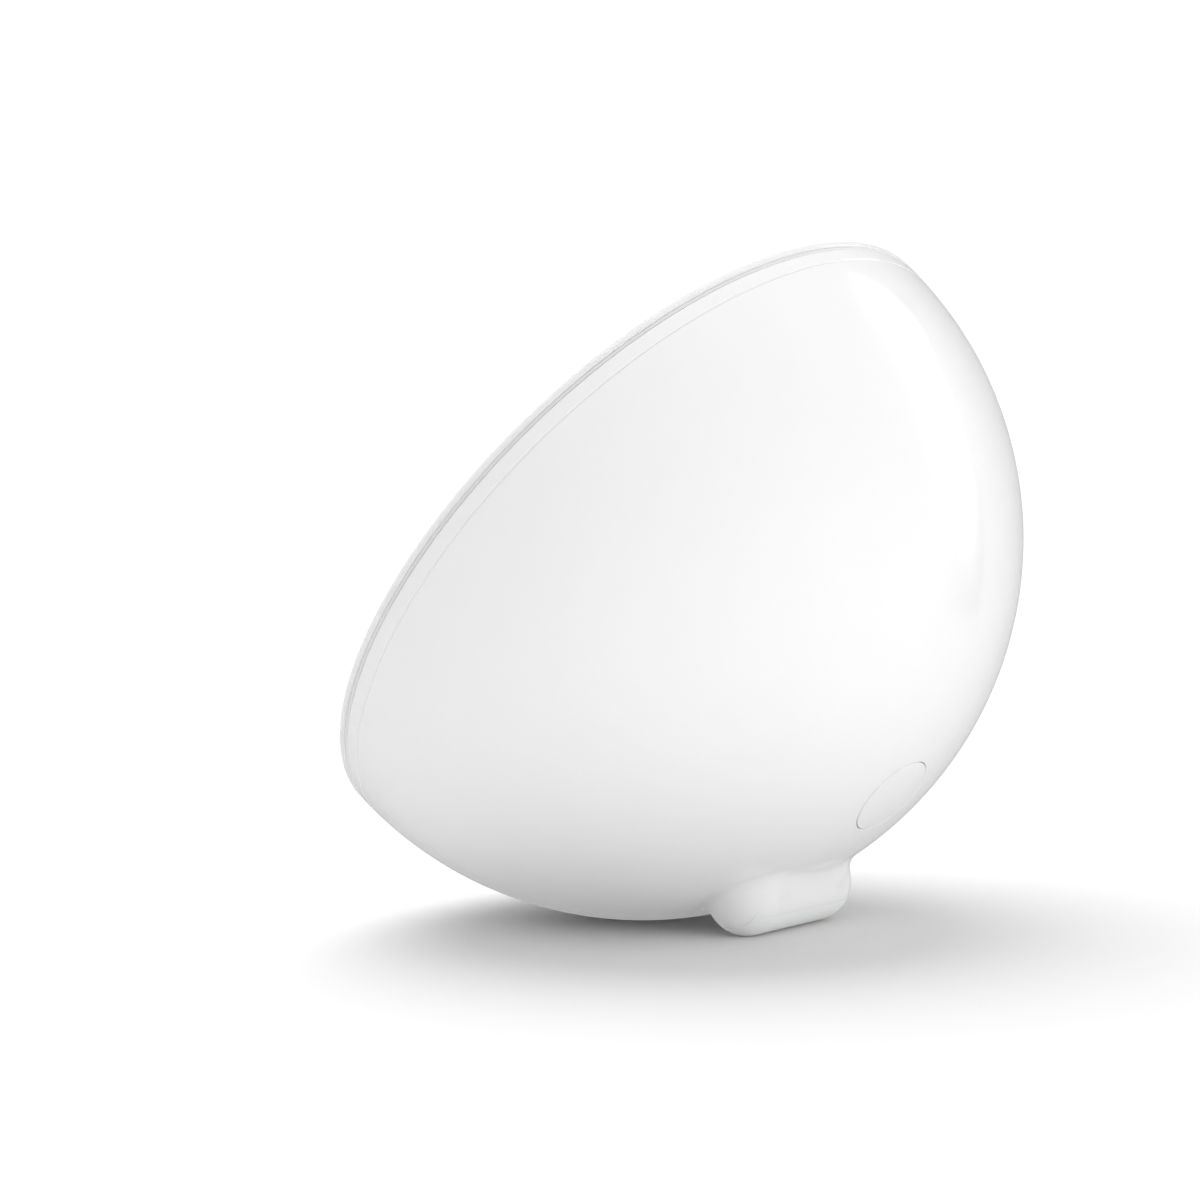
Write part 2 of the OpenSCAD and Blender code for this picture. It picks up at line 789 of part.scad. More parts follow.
module led_leads() {
    color("#c23b32") lean_back()
        lead_pair([[socket_xs[0], socket_y, lead_top],
                   [socket_xs[0], socket_y, lead_top - 3.5],
                   [socket_xs[0], main_near - 3.5, lead_top - 3.5],
                   [socket_xs[0], main_near - 3.5, chassis_z - 3],
                   [lead_hole[0], lead_hole[1], chassis_z - 3],
                   [lead_hole[0], lead_hole[1], led_board_top + 2]]);
}

module battery_leads() {
    end_x = cell_l / 2 + tab_t + lead_r;
    color("#c23b32") lean_back()
        for (i = [0, 1]) {
            side = socket_xs[2] + (1 - 2 * i) * 1.4;
            under = lead_top - 3 - 2.5 * i;
            over = -cell_depth + tray_rise + lead_r + 2 + 2 * (1 - i);
            lead([foot_point([end_x, cell_ys[i], -cell_depth]),
                  foot_point([end_x, cell_ys[i], over]),
                  foot_point([end_x, cell_ys[1] + cell_r, over]),
                  foot_point([end_x, cell_ys[1] + cell_r + tray_t, over]),
                  [side + 9, main_near - 6, under],
                  [side, socket_y, under],
                  [side, socket_y, lead_top]]);
        }
}

module inlet_leads() {
    color("#3b3b3b") lean_back()
        lead_pair([inlet_point([0, 0, socket_back]),
                   inlet_point([0, 0, socket_back - bracket_t - 4]),
                   [1 - main_w / 2, main_near - 4, lead_top - 3.5],
                   [socket_xs[1], socket_y, lead_top - 3.5],
                   [socket_xs[1], socket_y, lead_top]],
                  inlet_lead_step * [-sin(inlet_turn), cos(inlet_turn), 0]);
}

module switch_leads() {
    top = button_board_z + board_t;
    y = button_boss_y + button_board_d / 2 - 2;
    color("#e5c33b") lean_back()
        lead_pair([[0, y, top],
                   [0, y, top + 3],
                   [socket_xs[3], socket_y, lead_top - 3.5],
                   [socket_xs[3], socket_y, lead_top]]);
}

bowl_shell();
front_panel();
rim_seal();
foot_pad();
power_button();
button_gasket();
tact_switch();
switch_plunger();
button_board();
button_board_screws();
battery_tray();
battery_tray_screws();
battery_cells();
battery_tabs();
battery_foam();
chassis_plate();
chassis_screws();
heat_spreader();
thermal_pad();
led_board();
led_packages();
led_board_screws();
reflector();
main_board();
main_board_parts();
main_board_screws();
wireless_module();
board_sockets();
inlet_socket();
inlet_pin();
inlet_bracket();
inlet_screws();
led_leads();
battery_leads();
inlet_leads();
switch_leads();
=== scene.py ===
"""Portable bowl lamp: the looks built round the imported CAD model.

A milky white bowl stands on its own round side and a short bar foot. Its mouth is closed by a domed opal
light panel, with a soft seal in the joint. Everything is in metres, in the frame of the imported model.
"""

import json
import math

import bmesh
import bpy
import numpy as np
from mathutils import Matrix, Vector


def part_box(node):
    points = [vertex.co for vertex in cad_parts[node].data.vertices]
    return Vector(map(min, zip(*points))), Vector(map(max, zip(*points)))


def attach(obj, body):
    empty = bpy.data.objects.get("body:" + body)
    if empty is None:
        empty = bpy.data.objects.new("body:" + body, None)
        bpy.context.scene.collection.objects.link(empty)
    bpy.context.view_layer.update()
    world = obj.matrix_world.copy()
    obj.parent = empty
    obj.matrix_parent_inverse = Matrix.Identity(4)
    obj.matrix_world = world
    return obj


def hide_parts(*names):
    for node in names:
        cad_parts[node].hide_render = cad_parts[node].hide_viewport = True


bl_info = {
    "name": "Portable Bowl Lamp",
    "version": (1, 0, 0),
    "blender": (4, 5, 0),
    "location": "3D View > Sidebar > Bowl Lamp",
    "description": "Builds the bowl, light panel, foot pad, button and fittings of a portable bowl lamp",
    "category": "Add Mesh",
}

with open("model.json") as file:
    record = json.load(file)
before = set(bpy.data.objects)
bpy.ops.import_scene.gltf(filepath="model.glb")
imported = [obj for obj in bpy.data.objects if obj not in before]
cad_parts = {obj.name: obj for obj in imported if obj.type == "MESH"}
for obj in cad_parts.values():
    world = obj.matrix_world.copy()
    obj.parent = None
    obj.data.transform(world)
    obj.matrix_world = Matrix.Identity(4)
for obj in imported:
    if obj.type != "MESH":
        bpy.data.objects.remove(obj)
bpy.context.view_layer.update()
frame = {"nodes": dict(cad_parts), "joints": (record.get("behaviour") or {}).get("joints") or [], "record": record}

MM = 0.001
TURN = 2 * math.pi
DEGREE = math.radians(1)
SHARP = 35 * DEGREE                        # faces that meet at more than this keep a hard edge
FITTING_SHARP = 40 * DEGREE                # the same on what Geometry Nodes make

# The lamp's own frame: the middle of the bowl's sphere, with +Z out through the light panel
PANEL_LOW, PANEL_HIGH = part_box("front_panel")
BOWL_R = (PANEL_HIGH.x - PANEL_LOW.x) / 2
AXIS = Vector(frame["joints"][0]["axis"]).normalized()
LEAN = math.atan2(-AXIS.y, AXIS.z)
CENTRE = Vector((0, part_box("bowl_shell")[1].y - BOWL_R, BOWL_R))
LAMP = Matrix.Translation(CENTRE) @ Matrix.Rotation(LEAN, 4, "X")
FOOT_TURN = -LEAN / 2                      # turn of the foot's frame about X, inside the lamp's frame


# ---------------------------------------------------------------- sizes and colours

def linear(code):
    """An sRGB hex colour as linear RGBA."""
    channels = [int(code[i:i + 2], 16) / 255 for i in (0, 2, 4)]
    return (*[c / 12.92 if c <= 0.04045 else ((c + 0.055) / 1.055) ** 2.4 for c in channels], 1.0)


def length(name, description, millimetres):
    """A length property, given in millimetres."""
    return bpy.props.FloatProperty(name=name, description=description, default=millimetres * MM,
                                   min=0, subtype="DISTANCE", unit="LENGTH", precision=5)


def colour(name, description, code):
    """A colour property, given as sRGB hex."""
    return bpy.props.FloatVectorProperty(name=name, description=description, default=linear(code),
                                         size=4, min=0, max=1, subtype="COLOR")


class BowlSizes(bpy.types.PropertyGroup):
    wall: length("Wall", "Thickness of the bowl's wall", 2.6)
    front: length("Front edge", "Distance of the bowl's front edge behind the panel's", 2.1)
    edge_round: length("Edge rounding", "Rounding of the bowl's front edge", 0.5)
    line_back: length("Moulded line", "Distance of the fine moulded line behind the front", 5.2)
    line_width: length("Line width", "Width of the fine moulded line", 0.5)
    line_depth: length("Line depth", "Depth of the fine moulded line", 0.22)
    foot_radius: length("Foot radius", "Radius of the bar foot's body", 7.72)
    foot_half: length("Foot half length", "Half the straight part of the foot", 11.6)
    foot_stand: length("Foot stand", "Radius at which the foot meets the table", 7.75)
    fillet: length("Fillet", "Rounding where the foot's long sides meet the bowl", 3.4)
    end_fillet: length("End fillet", "Rounding where the foot's ends meet the bowl", 1.0)
    hole: length("Button hole", "Radius of the button's hole", 8.75)
    collar_in: length("Collar inside", "Inner radius of the button's collar", 10.8)
    collar_out: length("Collar outside", "Outer radius of the button's collar", 13.0)
    collar_height: length("Collar height", "Height of the button's collar", 4.2)
    inlet: length("Inlet hole", "Radius of the charging inlet's hole", 4.1)
    boss: length("Boss", "Radius of the carrier's screw bosses", 3.6)
    small_boss: length("Small boss", "Radius of the other screw bosses", 2.8)
    plastic: colour("Bowl", "Glossy white plastic of the bowl", "F4F4F4")


class PanelSizes(bpy.types.PropertyGroup):
    dome: length("Dome", "Height of the panel's dome", 4.0)
    edge: length("Edge", "Thickness of the panel's edge", 1.35)
    edge_round: length("Edge rounding", "Rounding of the panel's edge", 0.45)
    skin: length("Skin", "Thickness of the panel", 2.2)
    skirt: length("Skirt", "Radius of the skirt that plugs into the bowl", 71.64)
    skirt_length: length("Skirt length", "Length of the skirt", 9.0)
    skirt_wall: length("Skirt wall", "Wall thickness of the skirt", 2.0)
    bead: length("Bead", "Radius of the snap bead on the skirt", 72.34)
    seal: length("Seal", "Outer radius of the seal in the joint", 74.75)
    opal: colour("Opal", "Opal plastic of the light panel", "F0F0F0")
    rubber: colour("Seal", "Soft grey seal in the joint", "E6E6E6")


class FootSizes(bpy.types.PropertyGroup):
    thickness: length("Pad", "Thickness of the foot's pad", 0.8)
    past: length("Pad past", "Length of the pad past the straight part of the foot", 5.0)
    spread: bpy.props.FloatProperty(name="Spread", description="Half the angle that the pad covers",
                                    default=math.radians(38), subtype="ANGLE", unit="ROTATION")
    edge_round: length("Edge rounding", "Rounding of the pad's edge", 0.06)
    gap: length("Gap", "Clearance round the pad in its recess", 0.03)
    silicone: colour("Pad", "Soft white silicone of the pad", "F3F3F2")


class ButtonSizes(bpy.types.PropertyGroup):
    radius: length("Button", "Radius of the push button", 8.6)
    edge_round: length("Edge rounding", "Rounding of the button's edge", 0.12)
    flange: length("Flange", "Radius of the flange that keeps the button in", 10.4)
    flange_back: length("Flange place", "Distance of the flange's outer face from the middle", 71.7)
    flange_height: length("Flange height", "Thickness of the flange", 1.2)
    post: length("Post", "Radius of the post that presses the switch", 2.5)
    post_height: length("Post height", "Length of that post", 4.1)


class FittingSizes(bpy.types.PropertyGroup):
    shank: length("Shank", "Radius of a screw's shank", 1.25)
    head: length("Head", "Radius of a screw's head", 2.3)
    head_height: length("Head height", "Height of a screw's head", 1.5)
    pitch: length("Pitch", "Pitch of a screw's thread", 0.9)
    carrier: length("Carrier", "Thickness of the carrier plate and the battery tray", 2.0)
    board: length("Board", "Thickness of the small boards and the inlet's bracket", 1.6)


class StageSettings(bpy.types.PropertyGroup):
    distance: bpy.props.FloatProperty(name="Camera distance", default=0.8, subtype="DISTANCE", unit="LENGTH",
                                      description="From the camera to the point that it looks at")
    azimuth: bpy.props.FloatProperty(name="Azimuth", default=math.radians(125.72), subtype="ANGLE",
                                     unit="ROTATION", description="Camera's turn round the lamp")
    elevation: bpy.props.FloatProperty(name="Elevation", default=math.radians(3.875), subtype="ANGLE",
                                       unit="ROTATION", description="Camera's angle above the table")
    roll: bpy.props.FloatProperty(name="Roll", default=math.radians(-0.94), subtype="ANGLE",
                                  unit="ROTATION", description="Camera's turn about its own axis")
    lens: bpy.props.FloatProperty(name="Lens", default=121.6, subtype="DISTANCE_CAMERA", unit="CAMERA",
                                  description="Focal length")
    # painted shade: the floor's colour near the lamp, which the floor's material paints paler to white further out
    floor: colour("Floor", "Pale studio floor", "EDEDED")
    ambient: bpy.props.FloatProperty(name="Ambient", default=0.68, description="Strength of the surround")
    key: bpy.props.FloatProperty(name="Key", default=4.5, description="Power of the large soft key light")
    bounce: bpy.props.FloatProperty(name="Bounce", default=0.4, description="Extra light off the floor")
    top: bpy.props.FloatProperty(name="Top", default=1.76, description="Strength of the overhead soft light")
    strip: bpy.props.FloatProperty(name="Strip", default=4.0, description="Strength of the bent softbox")


# ---------------------------------------------------------------- helpers

def add(tree, kind, settings=None, inputs=None):
    """Adds one node. settings are its own properties; inputs are its sockets, as a value or output or list."""
    node = tree.nodes.new(kind)
    for key, value in (settings or {}).items():
        setattr(node, key, value)
    for key, given in (inputs or {}).items():
        for value in given if isinstance(given, list) else [given]:
            if isinstance(value, bpy.types.NodeSocket):
                tree.links.new(value, node.inputs[key])
            else:
                node.inputs[key].default_value = value
    return node


def bare_material(name):
    """A new material and its empty node tree."""
    material = bpy.data.materials.new(name)
    material.use_nodes = True
    material.node_tree.nodes.clear()
    return material, material.node_tree


def linked_object(name, data):
    """A new object in the scene, at the origin."""
    made = bpy.data.objects.new(name, data)
    bpy.context.scene.collection.objects.link(made)
    return made


def evaluated_mesh(made):
    """The object's mesh with its modifiers run, which are then removed."""
    graph = bpy.context.evaluated_depsgraph_get()
    mesh = bpy.data.meshes.new_from_object(made.evaluated_get(graph))
    made.modifiers.clear()
    return mesh


def to_mesh(name, points, faces, place=LAMP):
    """A smooth-shaded mesh object with its faces outwards; points are in the frame that place gives."""
    mesh = bpy.data.meshes.new(name)
    mesh.from_pydata([tuple(p) for p in points], [], faces)
    mesh.transform(place)
    work = bmesh.new()
    work.from_mesh(mesh)
    bmesh.ops.remove_doubles(work, verts=work.verts, dist=1e-7)
    bmesh.ops.dissolve_degenerate(work, edges=work.edges, dist=1e-7)
    bmesh.ops.recalc_face_normals(work, faces=work.faces)
    work.to_mesh(mesh)
    work.free()
    mesh.shade_smooth()
    mesh.set_sharp_from_angle(angle=SHARP)
    return linked_object(name, mesh)


def ring_faces(rings, around, closed=True):
    """Quads between rings of around points each; closed joins the last ring to the first."""
    faces = []
    for i in range(rings if closed else rings - 1):
        j = (i + 1) % rings
        for k in range(around):
            m = (k + 1) % around
            faces.append((i * around + k, i * around + m, j * around + m, j * around + k))
    return faces


def turned(profile, around):
    """Points and faces of a (radius, height) profile turned about Z; points on the axis are poles."""
    angles = np.arange(around) * TURN / around
    points = [(r * math.cos(a), r * math.sin(a), z) for r, z in profile for a in angles]
    on_axis = profile[0][0] == 0
    return points, ring_faces(len(profile), around, closed=not on_axis)


def arc(centre, radius, start, end, steps):
    """Points on an arc in the profile plane, from angle start to end in degrees."""
    return [(centre[0] + radius * math.cos(a * DEGREE), centre[1] + radius * math.sin(a * DEGREE))
            for a in np.linspace(start, end, steps + 1)]


def in_foot(points):
    """Points of the lamp's frame as points of the foot's frame, whose -Z runs through the foot."""
    c, s = math.cos(FOOT_TURN), math.sin(FOOT_TURN)
    x, y, z = points[..., 0], points[..., 1], points[..., 2]
    return np.stack([x, y * c + z * s, -y * s + z * c], -1)


def lamp_groups(scene):
    """The lamp's property groups."""
    return scene.bowl_lamp_bowl, scene.bowl_lamp_panel, scene.bowl_lamp_foot, scene.bowl_lamp_button


# ---------------------------------------------------------------- the bowl's skin

def foot_middle(bowl):
    """Distance of the foot's line from the middle of the bowl: foot and bowl stand on the same table."""
    return (BOWL_R - bowl.foot_stand) / math.cos(LEAN / 2)


def skin(points, bowl, radius, foot_radius, fillet, end_fillet):
    """Signed distance to the sphere joined to the bar foot by a round fillet."""
    sphere = np.linalg.norm(points, axis=-1) - radius
    local = in_foot(points) + np.array([0, 0, foot_middle(bowl)])
    local[..., 0] -= np.clip(local[..., 0], -bowl.foot_half, bowl.foot_half)
    bar = np.linalg.norm(local, axis=-1) - foot_radius
    past = np.clip(np.abs(local[..., 0]) / foot_radius, 0, 1)
    joint = fillet + (end_fillet - fillet) * past
    reach = np.stack([np.maximum(joint - sphere, 0), np.maximum(joint - bar, 0)])
    return np.maximum(joint, np.minimum(sphere, bar)) - np.linalg.norm(reach, axis=0)


def skin_gradient(points, value):
    """Unit gradient of a signed distance."""
    step = 0.02 * MM
    slopes = [value(points + step * axis) - value(points - step * axis) for axis in np.eye(3)]
    slopes = np.stack(slopes, -1)
    return slopes / np.linalg.norm(slopes, axis=-1, keepdims=True)


def cast(directions, value, near, far):
    """Distance along each direction from the middle at which the signed distance turns positive."""
    low, high = np.full(directions.shape[:-1], near), np.full(directions.shape[:-1], far)
    for _ in range(40):
        middle = (low + high) / 2
        inside = value(directions * middle[..., None]) < 0
        low, high = np.where(inside, middle, low), np.where(inside, high, middle)
    return (low + high) / 2


def spread_angles(first, last, dense_from, dense_to, coarse, fine):
    """Angles from first to last, in fine steps between dense_from and dense_to and coarse ones elsewhere."""
    angles = [first]
    while angles[-1] < last:
        angles.append(angles[-1] + (fine if dense_from <= angles[-1] < dense_to else coarse))
    angles = np.array(angles)
    return first + (angles - first) * (last - first) / (angles[-1] - first)


def polar_points(thetas, phis):
    """Unit directions by angle from the pole (rows) and angle about the axis (columns)."""
    theta, phi = np.meshgrid(thetas, phis, indexing="ij")
    return np.stack([np.sin(theta) * np.cos(phi), np.sin(theta) * np.sin(phi), -np.cos(theta)], -1)


def evened(points, value, weight):
    """The grid's points spread evenly over the skin wherever weight is above 0."""
    rounds, pull = 60, 0.5
    weight = weight[1:-1, :, None] * pull
    for _ in range(rounds):
        around = (np.roll(points, 1, 1) + np.roll(points, -1, 1))[1:-1]
        mean = (around + points[2:] + points[:-2]) / 4
        points[1:-1] += weight * (mean - points[1:-1])
        inner = points[1:-1]
        points[1:-1] = inner - value(inner)[..., None] * skin_gradient(inner, value)
    return points


def bowl_grid(bowl):
    """The bowl as one closed grid of rings: outside, front edge, inside, button collar, button hole."""
    phis = spread_angles(-math.pi, math.pi, -138 * DEGREE, -42 * DEGREE, 2.5 * DEGREE, 0.8 * DEGREE)[:-1]
    inner_r = BOWL_R - bowl.wall
    corner = 0.2 * MM                      # the front edge's inner corner
    hole_edge = bowl.hole + 0.15 * MM      # where the button's hole meets the skin
    foot_from, foot_to = 12 * DEGREE, 40 * DEGREE      # where rings cross the foot, measured from the pole

    def outside(points):
        return skin(points, bowl, BOWL_R, bowl.foot_radius, bowl.fillet, bowl.end_fillet)

    def inside(points):
        return skin(points, bowl, inner_r, bowl.foot_radius - bowl.wall, 1 * MM, 1 * MM)

    # outside, from the button's hole to just behind the moulded line
    hole_angle = math.asin(hole_edge / BOWL_R)
    line_zone = bowl.line_back + bowl.line_width + 0.6 * MM
    last = math.acos(line_zone / BOWL_R)
    thetas = spread_angles(hole_angle, last, foot_from, foot_to, 1.5 * DEGREE, 0.36 * DEGREE)
    directions = polar_points(thetas, phis)
    points = directions * cast(directions, outside, BOWL_R - 2 * MM, BOWL_R + 20 * MM)[..., None]
    # the points are evened out on the foot and round it, and left alone further away
    towards_foot = in_foot(directions)
    away = np.arccos(np.clip(-towards_foot[..., 2] / np.linalg.norm(towards_foot, axis=-1), -1, 1))
    weight = np.clip((24 * DEGREE - away) / (5 * DEGREE), 0, 1)
    weight[0] = 0
    rings = list(evened(points, outside, weight))

    def ring(r, z):
        return np.stack([r * np.cos(phis), r * np.sin(phis), np.full(len(phis), z)], -1)

    def on_sphere(z, depth=0):
        return (math.sqrt(BOWL_R ** 2 - z ** 2) - depth, z)

    # the fine moulded line: a small rounded valley
    profile = []
    for t in np.linspace(-1, 1, 13):
        dip = bowl.line_depth * (0.5 + 0.5 * math.cos(math.pi * t)) ** 0.6
        profile.append(on_sphere(-bowl.line_back + t * bowl.line_width / 2, dip))
    # the band in front of it, the rounded front edge, and the edge's inner corner
    front = -bowl.front
    heights = np.linspace(-bowl.line_back + bowl.line_width, front - bowl.edge_round, 7)
    band = [on_sphere(z) for z in heights[1:]]
    profile += band[:-1]
    edge_r = on_sphere(front)[0]
    profile += arc((edge_r - bowl.edge_round, front - bowl.edge_round), bowl.edge_round, 0, 90, 8)
    mouth = math.sqrt(inner_r ** 2 - front ** 2)
    profile += [(mouth + corner, front), (mouth, front - corner)]
    rings += [ring(r, z) for r, z in profile]

    # inside, back to the button's collar
    collar_angle = math.asin(bowl.collar_out / inner_r)
    first = math.acos((bowl.front + 0.6 * MM) / inner_r)
    thetas = spread_angles(collar_angle, first, foot_from, foot_to, 3 * DEGREE, 0.8 * DEGREE)[::-1]
    directions = polar_points(thetas, phis)
    rings += list(directions * cast(directions, inside, inner_r - 2 * MM, BOWL_R)[..., None])

    # collar, seat of the button's flange and the hole's wall
    seat = -inner_r + 0.2 * MM
    top = seat + bowl.collar_height
    rim = -math.sqrt(BOWL_R ** 2 - hole_edge ** 2)
    rings += [ring(r, z) for r, z in [(bowl.collar_out, top), (bowl.collar_in, top), (bowl.collar_in, seat),
                                      (bowl.hole, seat), (bowl.hole, rim + 0.18 * MM),
                                      (bowl.hole + 0.03 * MM, rim + 0.07 * MM)]]
    return np.array(rings), outside


def cut_out(target, cutter):
    """Cuts the cutter out of the target, and deletes the cutter."""
    modifier = target.modifiers.new("cut", "BOOLEAN")
    modifier.operation = "DIFFERENCE"
    modifier.solver = "EXACT"
    modifier.object = cutter
    old = target.data
    target.data = evaluated_mesh(target)
    bpy.data.meshes.remove(old)
    bpy.data.meshes.remove(cutter.data)


def true_normals(made, outside):
    """Sets the bowl's normals on its outer skin from the shape's own formula, so its gloss has no facets."""
    near_skin = 2e-6
    mesh = made.data
    mesh.set_sharp_from_angle(angle=SHARP)
    count = len(mesh.vertices)
    co = np.empty(count * 3)
    mesh.vertices.foreach_get("co", co)
    back = np.array(LAMP.inverted())
    local = co.reshape(-1, 3) @ back[:3, :3].T + back[:3, 3]
    slopes = skin_gradient(local, outside) @ np.array(LAMP)[:3, :3].T
    on_skin = np.abs(outside(local)) < near_skin
    corner_vertex = np.empty(len(mesh.loops), int)
    mesh.loops.foreach_get("vertex_index", corner_vertex)
    normals = np.empty(len(mesh.loops) * 3)
    mesh.corner_normals.foreach_get("vector", normals)
    normals = normals.reshape(-1, 3)
    face_normal = np.empty(len(mesh.polygons) * 3)
    mesh.polygons.foreach_get("normal", face_normal)
    sizes = np.empty(len(mesh.polygons), int)
    mesh.polygons.foreach_get("loop_total", sizes)
    face_normal = np.repeat(face_normal.reshape(-1, 3), sizes, axis=0)
    wanted = slopes[corner_vertex]
    face_on_skin = np.repeat(np.array([all(on_skin[v] for v in p.vertices) for p in mesh.polygons]), sizes)
    good = face_on_skin & ((wanted * face_normal).sum(1) > 0.9)
    normals[good] = wanted[good]
    mesh.normals_split_custom_set([tuple(n) for n in normals])


def inlet_frame():
    """Matrix of the charging inlet: +Z runs from the middle of the sphere out through the inlet."""
    mount = next(m for m in frame["record"]["mounts"] if m["name"] == "charging_inlet")
    outward = (Vector(mount["pos_m"]) - CENTRE).normalized()
    turn = outward.to_track_quat("Z", "X").to_matrix().to_4x4()
    return Matrix.Translation(CENTRE) @ turn


def pad_shell(bowl, foot, grow, lift, under, rounding):
    """The pad on the foot's underside, grown by grow, with its outside lift past the standing radius.

    Under is the radius of its inner face, and rounding that of its outer edge.
    """
    along, across = 70, 36
    half = bowl.foot_half + foot.past + grow
    spread = foot.spread + grow / bowl.foot_stand
    xs = half * np.sin(np.linspace(-math.pi / 2, math.pi / 2, along))
    turns = spread * np.sin(np.linspace(-math.pi / 2, math.pi / 2, across))
    x, a = np.meshgrid(xs, turns, indexing="ij")
    past = np.maximum(np.abs(x) - bowl.foot_half, 0)
    edge = np.minimum(half - np.abs(x), (spread - np.abs(a)) * bowl.foot_stand)
    dip = rounding - np.sqrt(np.maximum(rounding ** 2 - np.maximum(rounding - edge, 0) ** 2, 0))
    layers = []
    for radius, drop in ((bowl.foot_stand + lift, dip), (under, 0)):
        r = np.sqrt(np.maximum(radius ** 2 - past ** 2, 0)) - drop
        layers.append(np.stack([x, r * np.sin(a), -r * np.cos(a) - foot_middle(bowl)], -1))
    total = along * across
    points = np.concatenate([layer.reshape(-1, 3) for layer in layers])
    faces = []
    for i in range(along - 1):
        for k in range(across - 1):
            corner = i * across + k
            quad = (corner, corner + 1, corner + across + 1, corner + across)
            faces.append(quad)
            faces.append(tuple(total + q for q in reversed(quad)))
    rim = [(0, k) for k in range(across)] + [(i, across - 1) for i in range(1, along)]
    rim += [(along - 1, k) for k in range(across - 2, -1, -1)] + [(i, 0) for i in range(along - 2, 0, -1)]
    rim = [i * across + k for i, k in rim]
    for a0, a1 in zip(rim, rim[1:] + rim[:1]):
        faces.append((a0, a1, total + a1, total + a0))
    return points, faces, LAMP @ Matrix.Rotation(FOOT_TURN, 4, "X")


# ---------------------------------------------------------------- finishes

def surface(name, base, roughness, grain, depth, variation, **sockets):
    """A finish with an even grain: noise of the grain's real size tints the colour and lifts the surface."""
    material, tree = bare_material(name)
    place = add(tree, "ShaderNodeTexCoord")
    noise = add(tree, "ShaderNodeTexNoise",
                inputs={"Vector": place.outputs["Object"], "Scale": 1 / grain, "Detail": 3.0})
    tone = add(tree, "ShaderNodeMath", {"operation": "MULTIPLY"},
               {0: noise.outputs["Fac"], 1: variation})
    mix = add(tree, "ShaderNodeMix", {"data_type": "RGBA"},
              {"Factor": tone.outputs["Value"], "A": tuple(base), "B": linear("000000")})
    bump = add(tree, "ShaderNodeBump",
               inputs={"Height": noise.outputs["Fac"], "Distance": depth, "Strength": 1.0})
    shader = add(tree, "ShaderNodeBsdfPrincipled",
                 inputs={"Base Color": mix.outputs["Result"], "Roughness": roughness,
                         "Normal": bump.outputs["Normal"]})
    for socket, value in sockets.items():
        shader.inputs[socket.replace("_", " ")].default_value = value
    add(tree, "ShaderNodeOutputMaterial", inputs={"Surface": shader.outputs["BSDF"]})
    return material


def glossy_abs(base):
    """Injection-moulded ABS from a polished tool: deep gloss, a very slight orange peel, and milky depth."""
    name = "Polished Moulded ABS"
    return bpy.data.materials.get(name) or surface(
        name, base, 0.24, 9 * MM, 0.006 * MM, 0.015, Coat_Weight=0.6, Coat_Roughness=0.03,
        Subsurface_Weight=0.12, Subsurface_Radius=(1.0, 0.95, 0.9), Subsurface_Scale=1.5 * MM, IOR=1.53)


def opal_panel(base):
    """Opal polycarbonate: satin, and light goes some way in before it comes back."""
    return surface("Opal Polycarbonate", base, 0.32, 1.2 * MM, 0.002 * MM, 0.01,
                   Coat_Weight=0.3, Coat_Roughness=0.12, Subsurface_Weight=0.5,
                   Subsurface_Radius=(1.0, 0.97, 0.94), Subsurface_Scale=3 * MM, IOR=1.58)


# ---------------------------------------------------------------- pieces

class BOWLLAMP_OT_bowl(bpy.types.Operator):
    """Makes the bowl with its foot, moulded line, button hole, charging hole and pad recess"""
    bl_idname = "bowl_lamp.bowl"
    bl_label = "Bowl"

    def execute(self, context):
        bowl, _, foot, _ = lamp_groups(context.scene)
        rings, outside = bowl_grid(bowl)
        count, around = rings.shape[:2]
        made = to_mesh("bowl", rings.reshape(-1, 3), ring_faces(count, around))
        recess = pad_shell(bowl, foot, foot.gap, 1 * MM, bowl.foot_stand - foot.thickness - foot.gap / 2, 0)
        cut_out(made, to_mesh("recess", *recess))
        # the charging hole, flared at the bowl's skin by a small round edge
        flare = 0.4 * MM
        wide = bowl.inlet + flare
        within, beyond = BOWL_R - 12 * MM, BOWL_R + 3 * MM
        mouth = math.sqrt(BOWL_R ** 2 - wide ** 2)
        side = arc((wide, mouth - flare), flare, 180, 90, 6)
        profile = [(0, within), (bowl.inlet, within), *side, (wide, beyond), (0, beyond)]
        cut_out(made, to_mesh("plug_way", *turned(profile, 72), place=inlet_frame()))
        true_normals(made, outside)
        made.data.materials.append(glossy_abs(bowl.plastic))
        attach(made, "lamp")
        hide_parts("bowl_shell")
        return {"FINISHED"}


class BOWLLAMP_OT_pad(bpy.types.Operator):
    """Makes the soft pad let into the foot's underside, standing a little proud with a rounded edge"""
    bl_idname = "bowl_lamp.pad"
    bl_label = "Foot Pad"

    def execute(self, context):
        bowl, _, foot, _ = lamp_groups(context.scene)
        shell = pad_shell(bowl, foot, 0, 0, bowl.foot_stand - foot.thickness, foot.edge_round)
        made = to_mesh("foot_sole", *shell)
        made.data.materials.append(
            surface("Moulded Silicone", foot.silicone, 0.42, 0.5 * MM, 0.004 * MM, 0.03,
                    Subsurface_Weight=0.25, Subsurface_Scale=1 * MM, IOR=1.41))
        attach(made, "lamp")
        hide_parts("foot_pad")
        return {"FINISHED"}


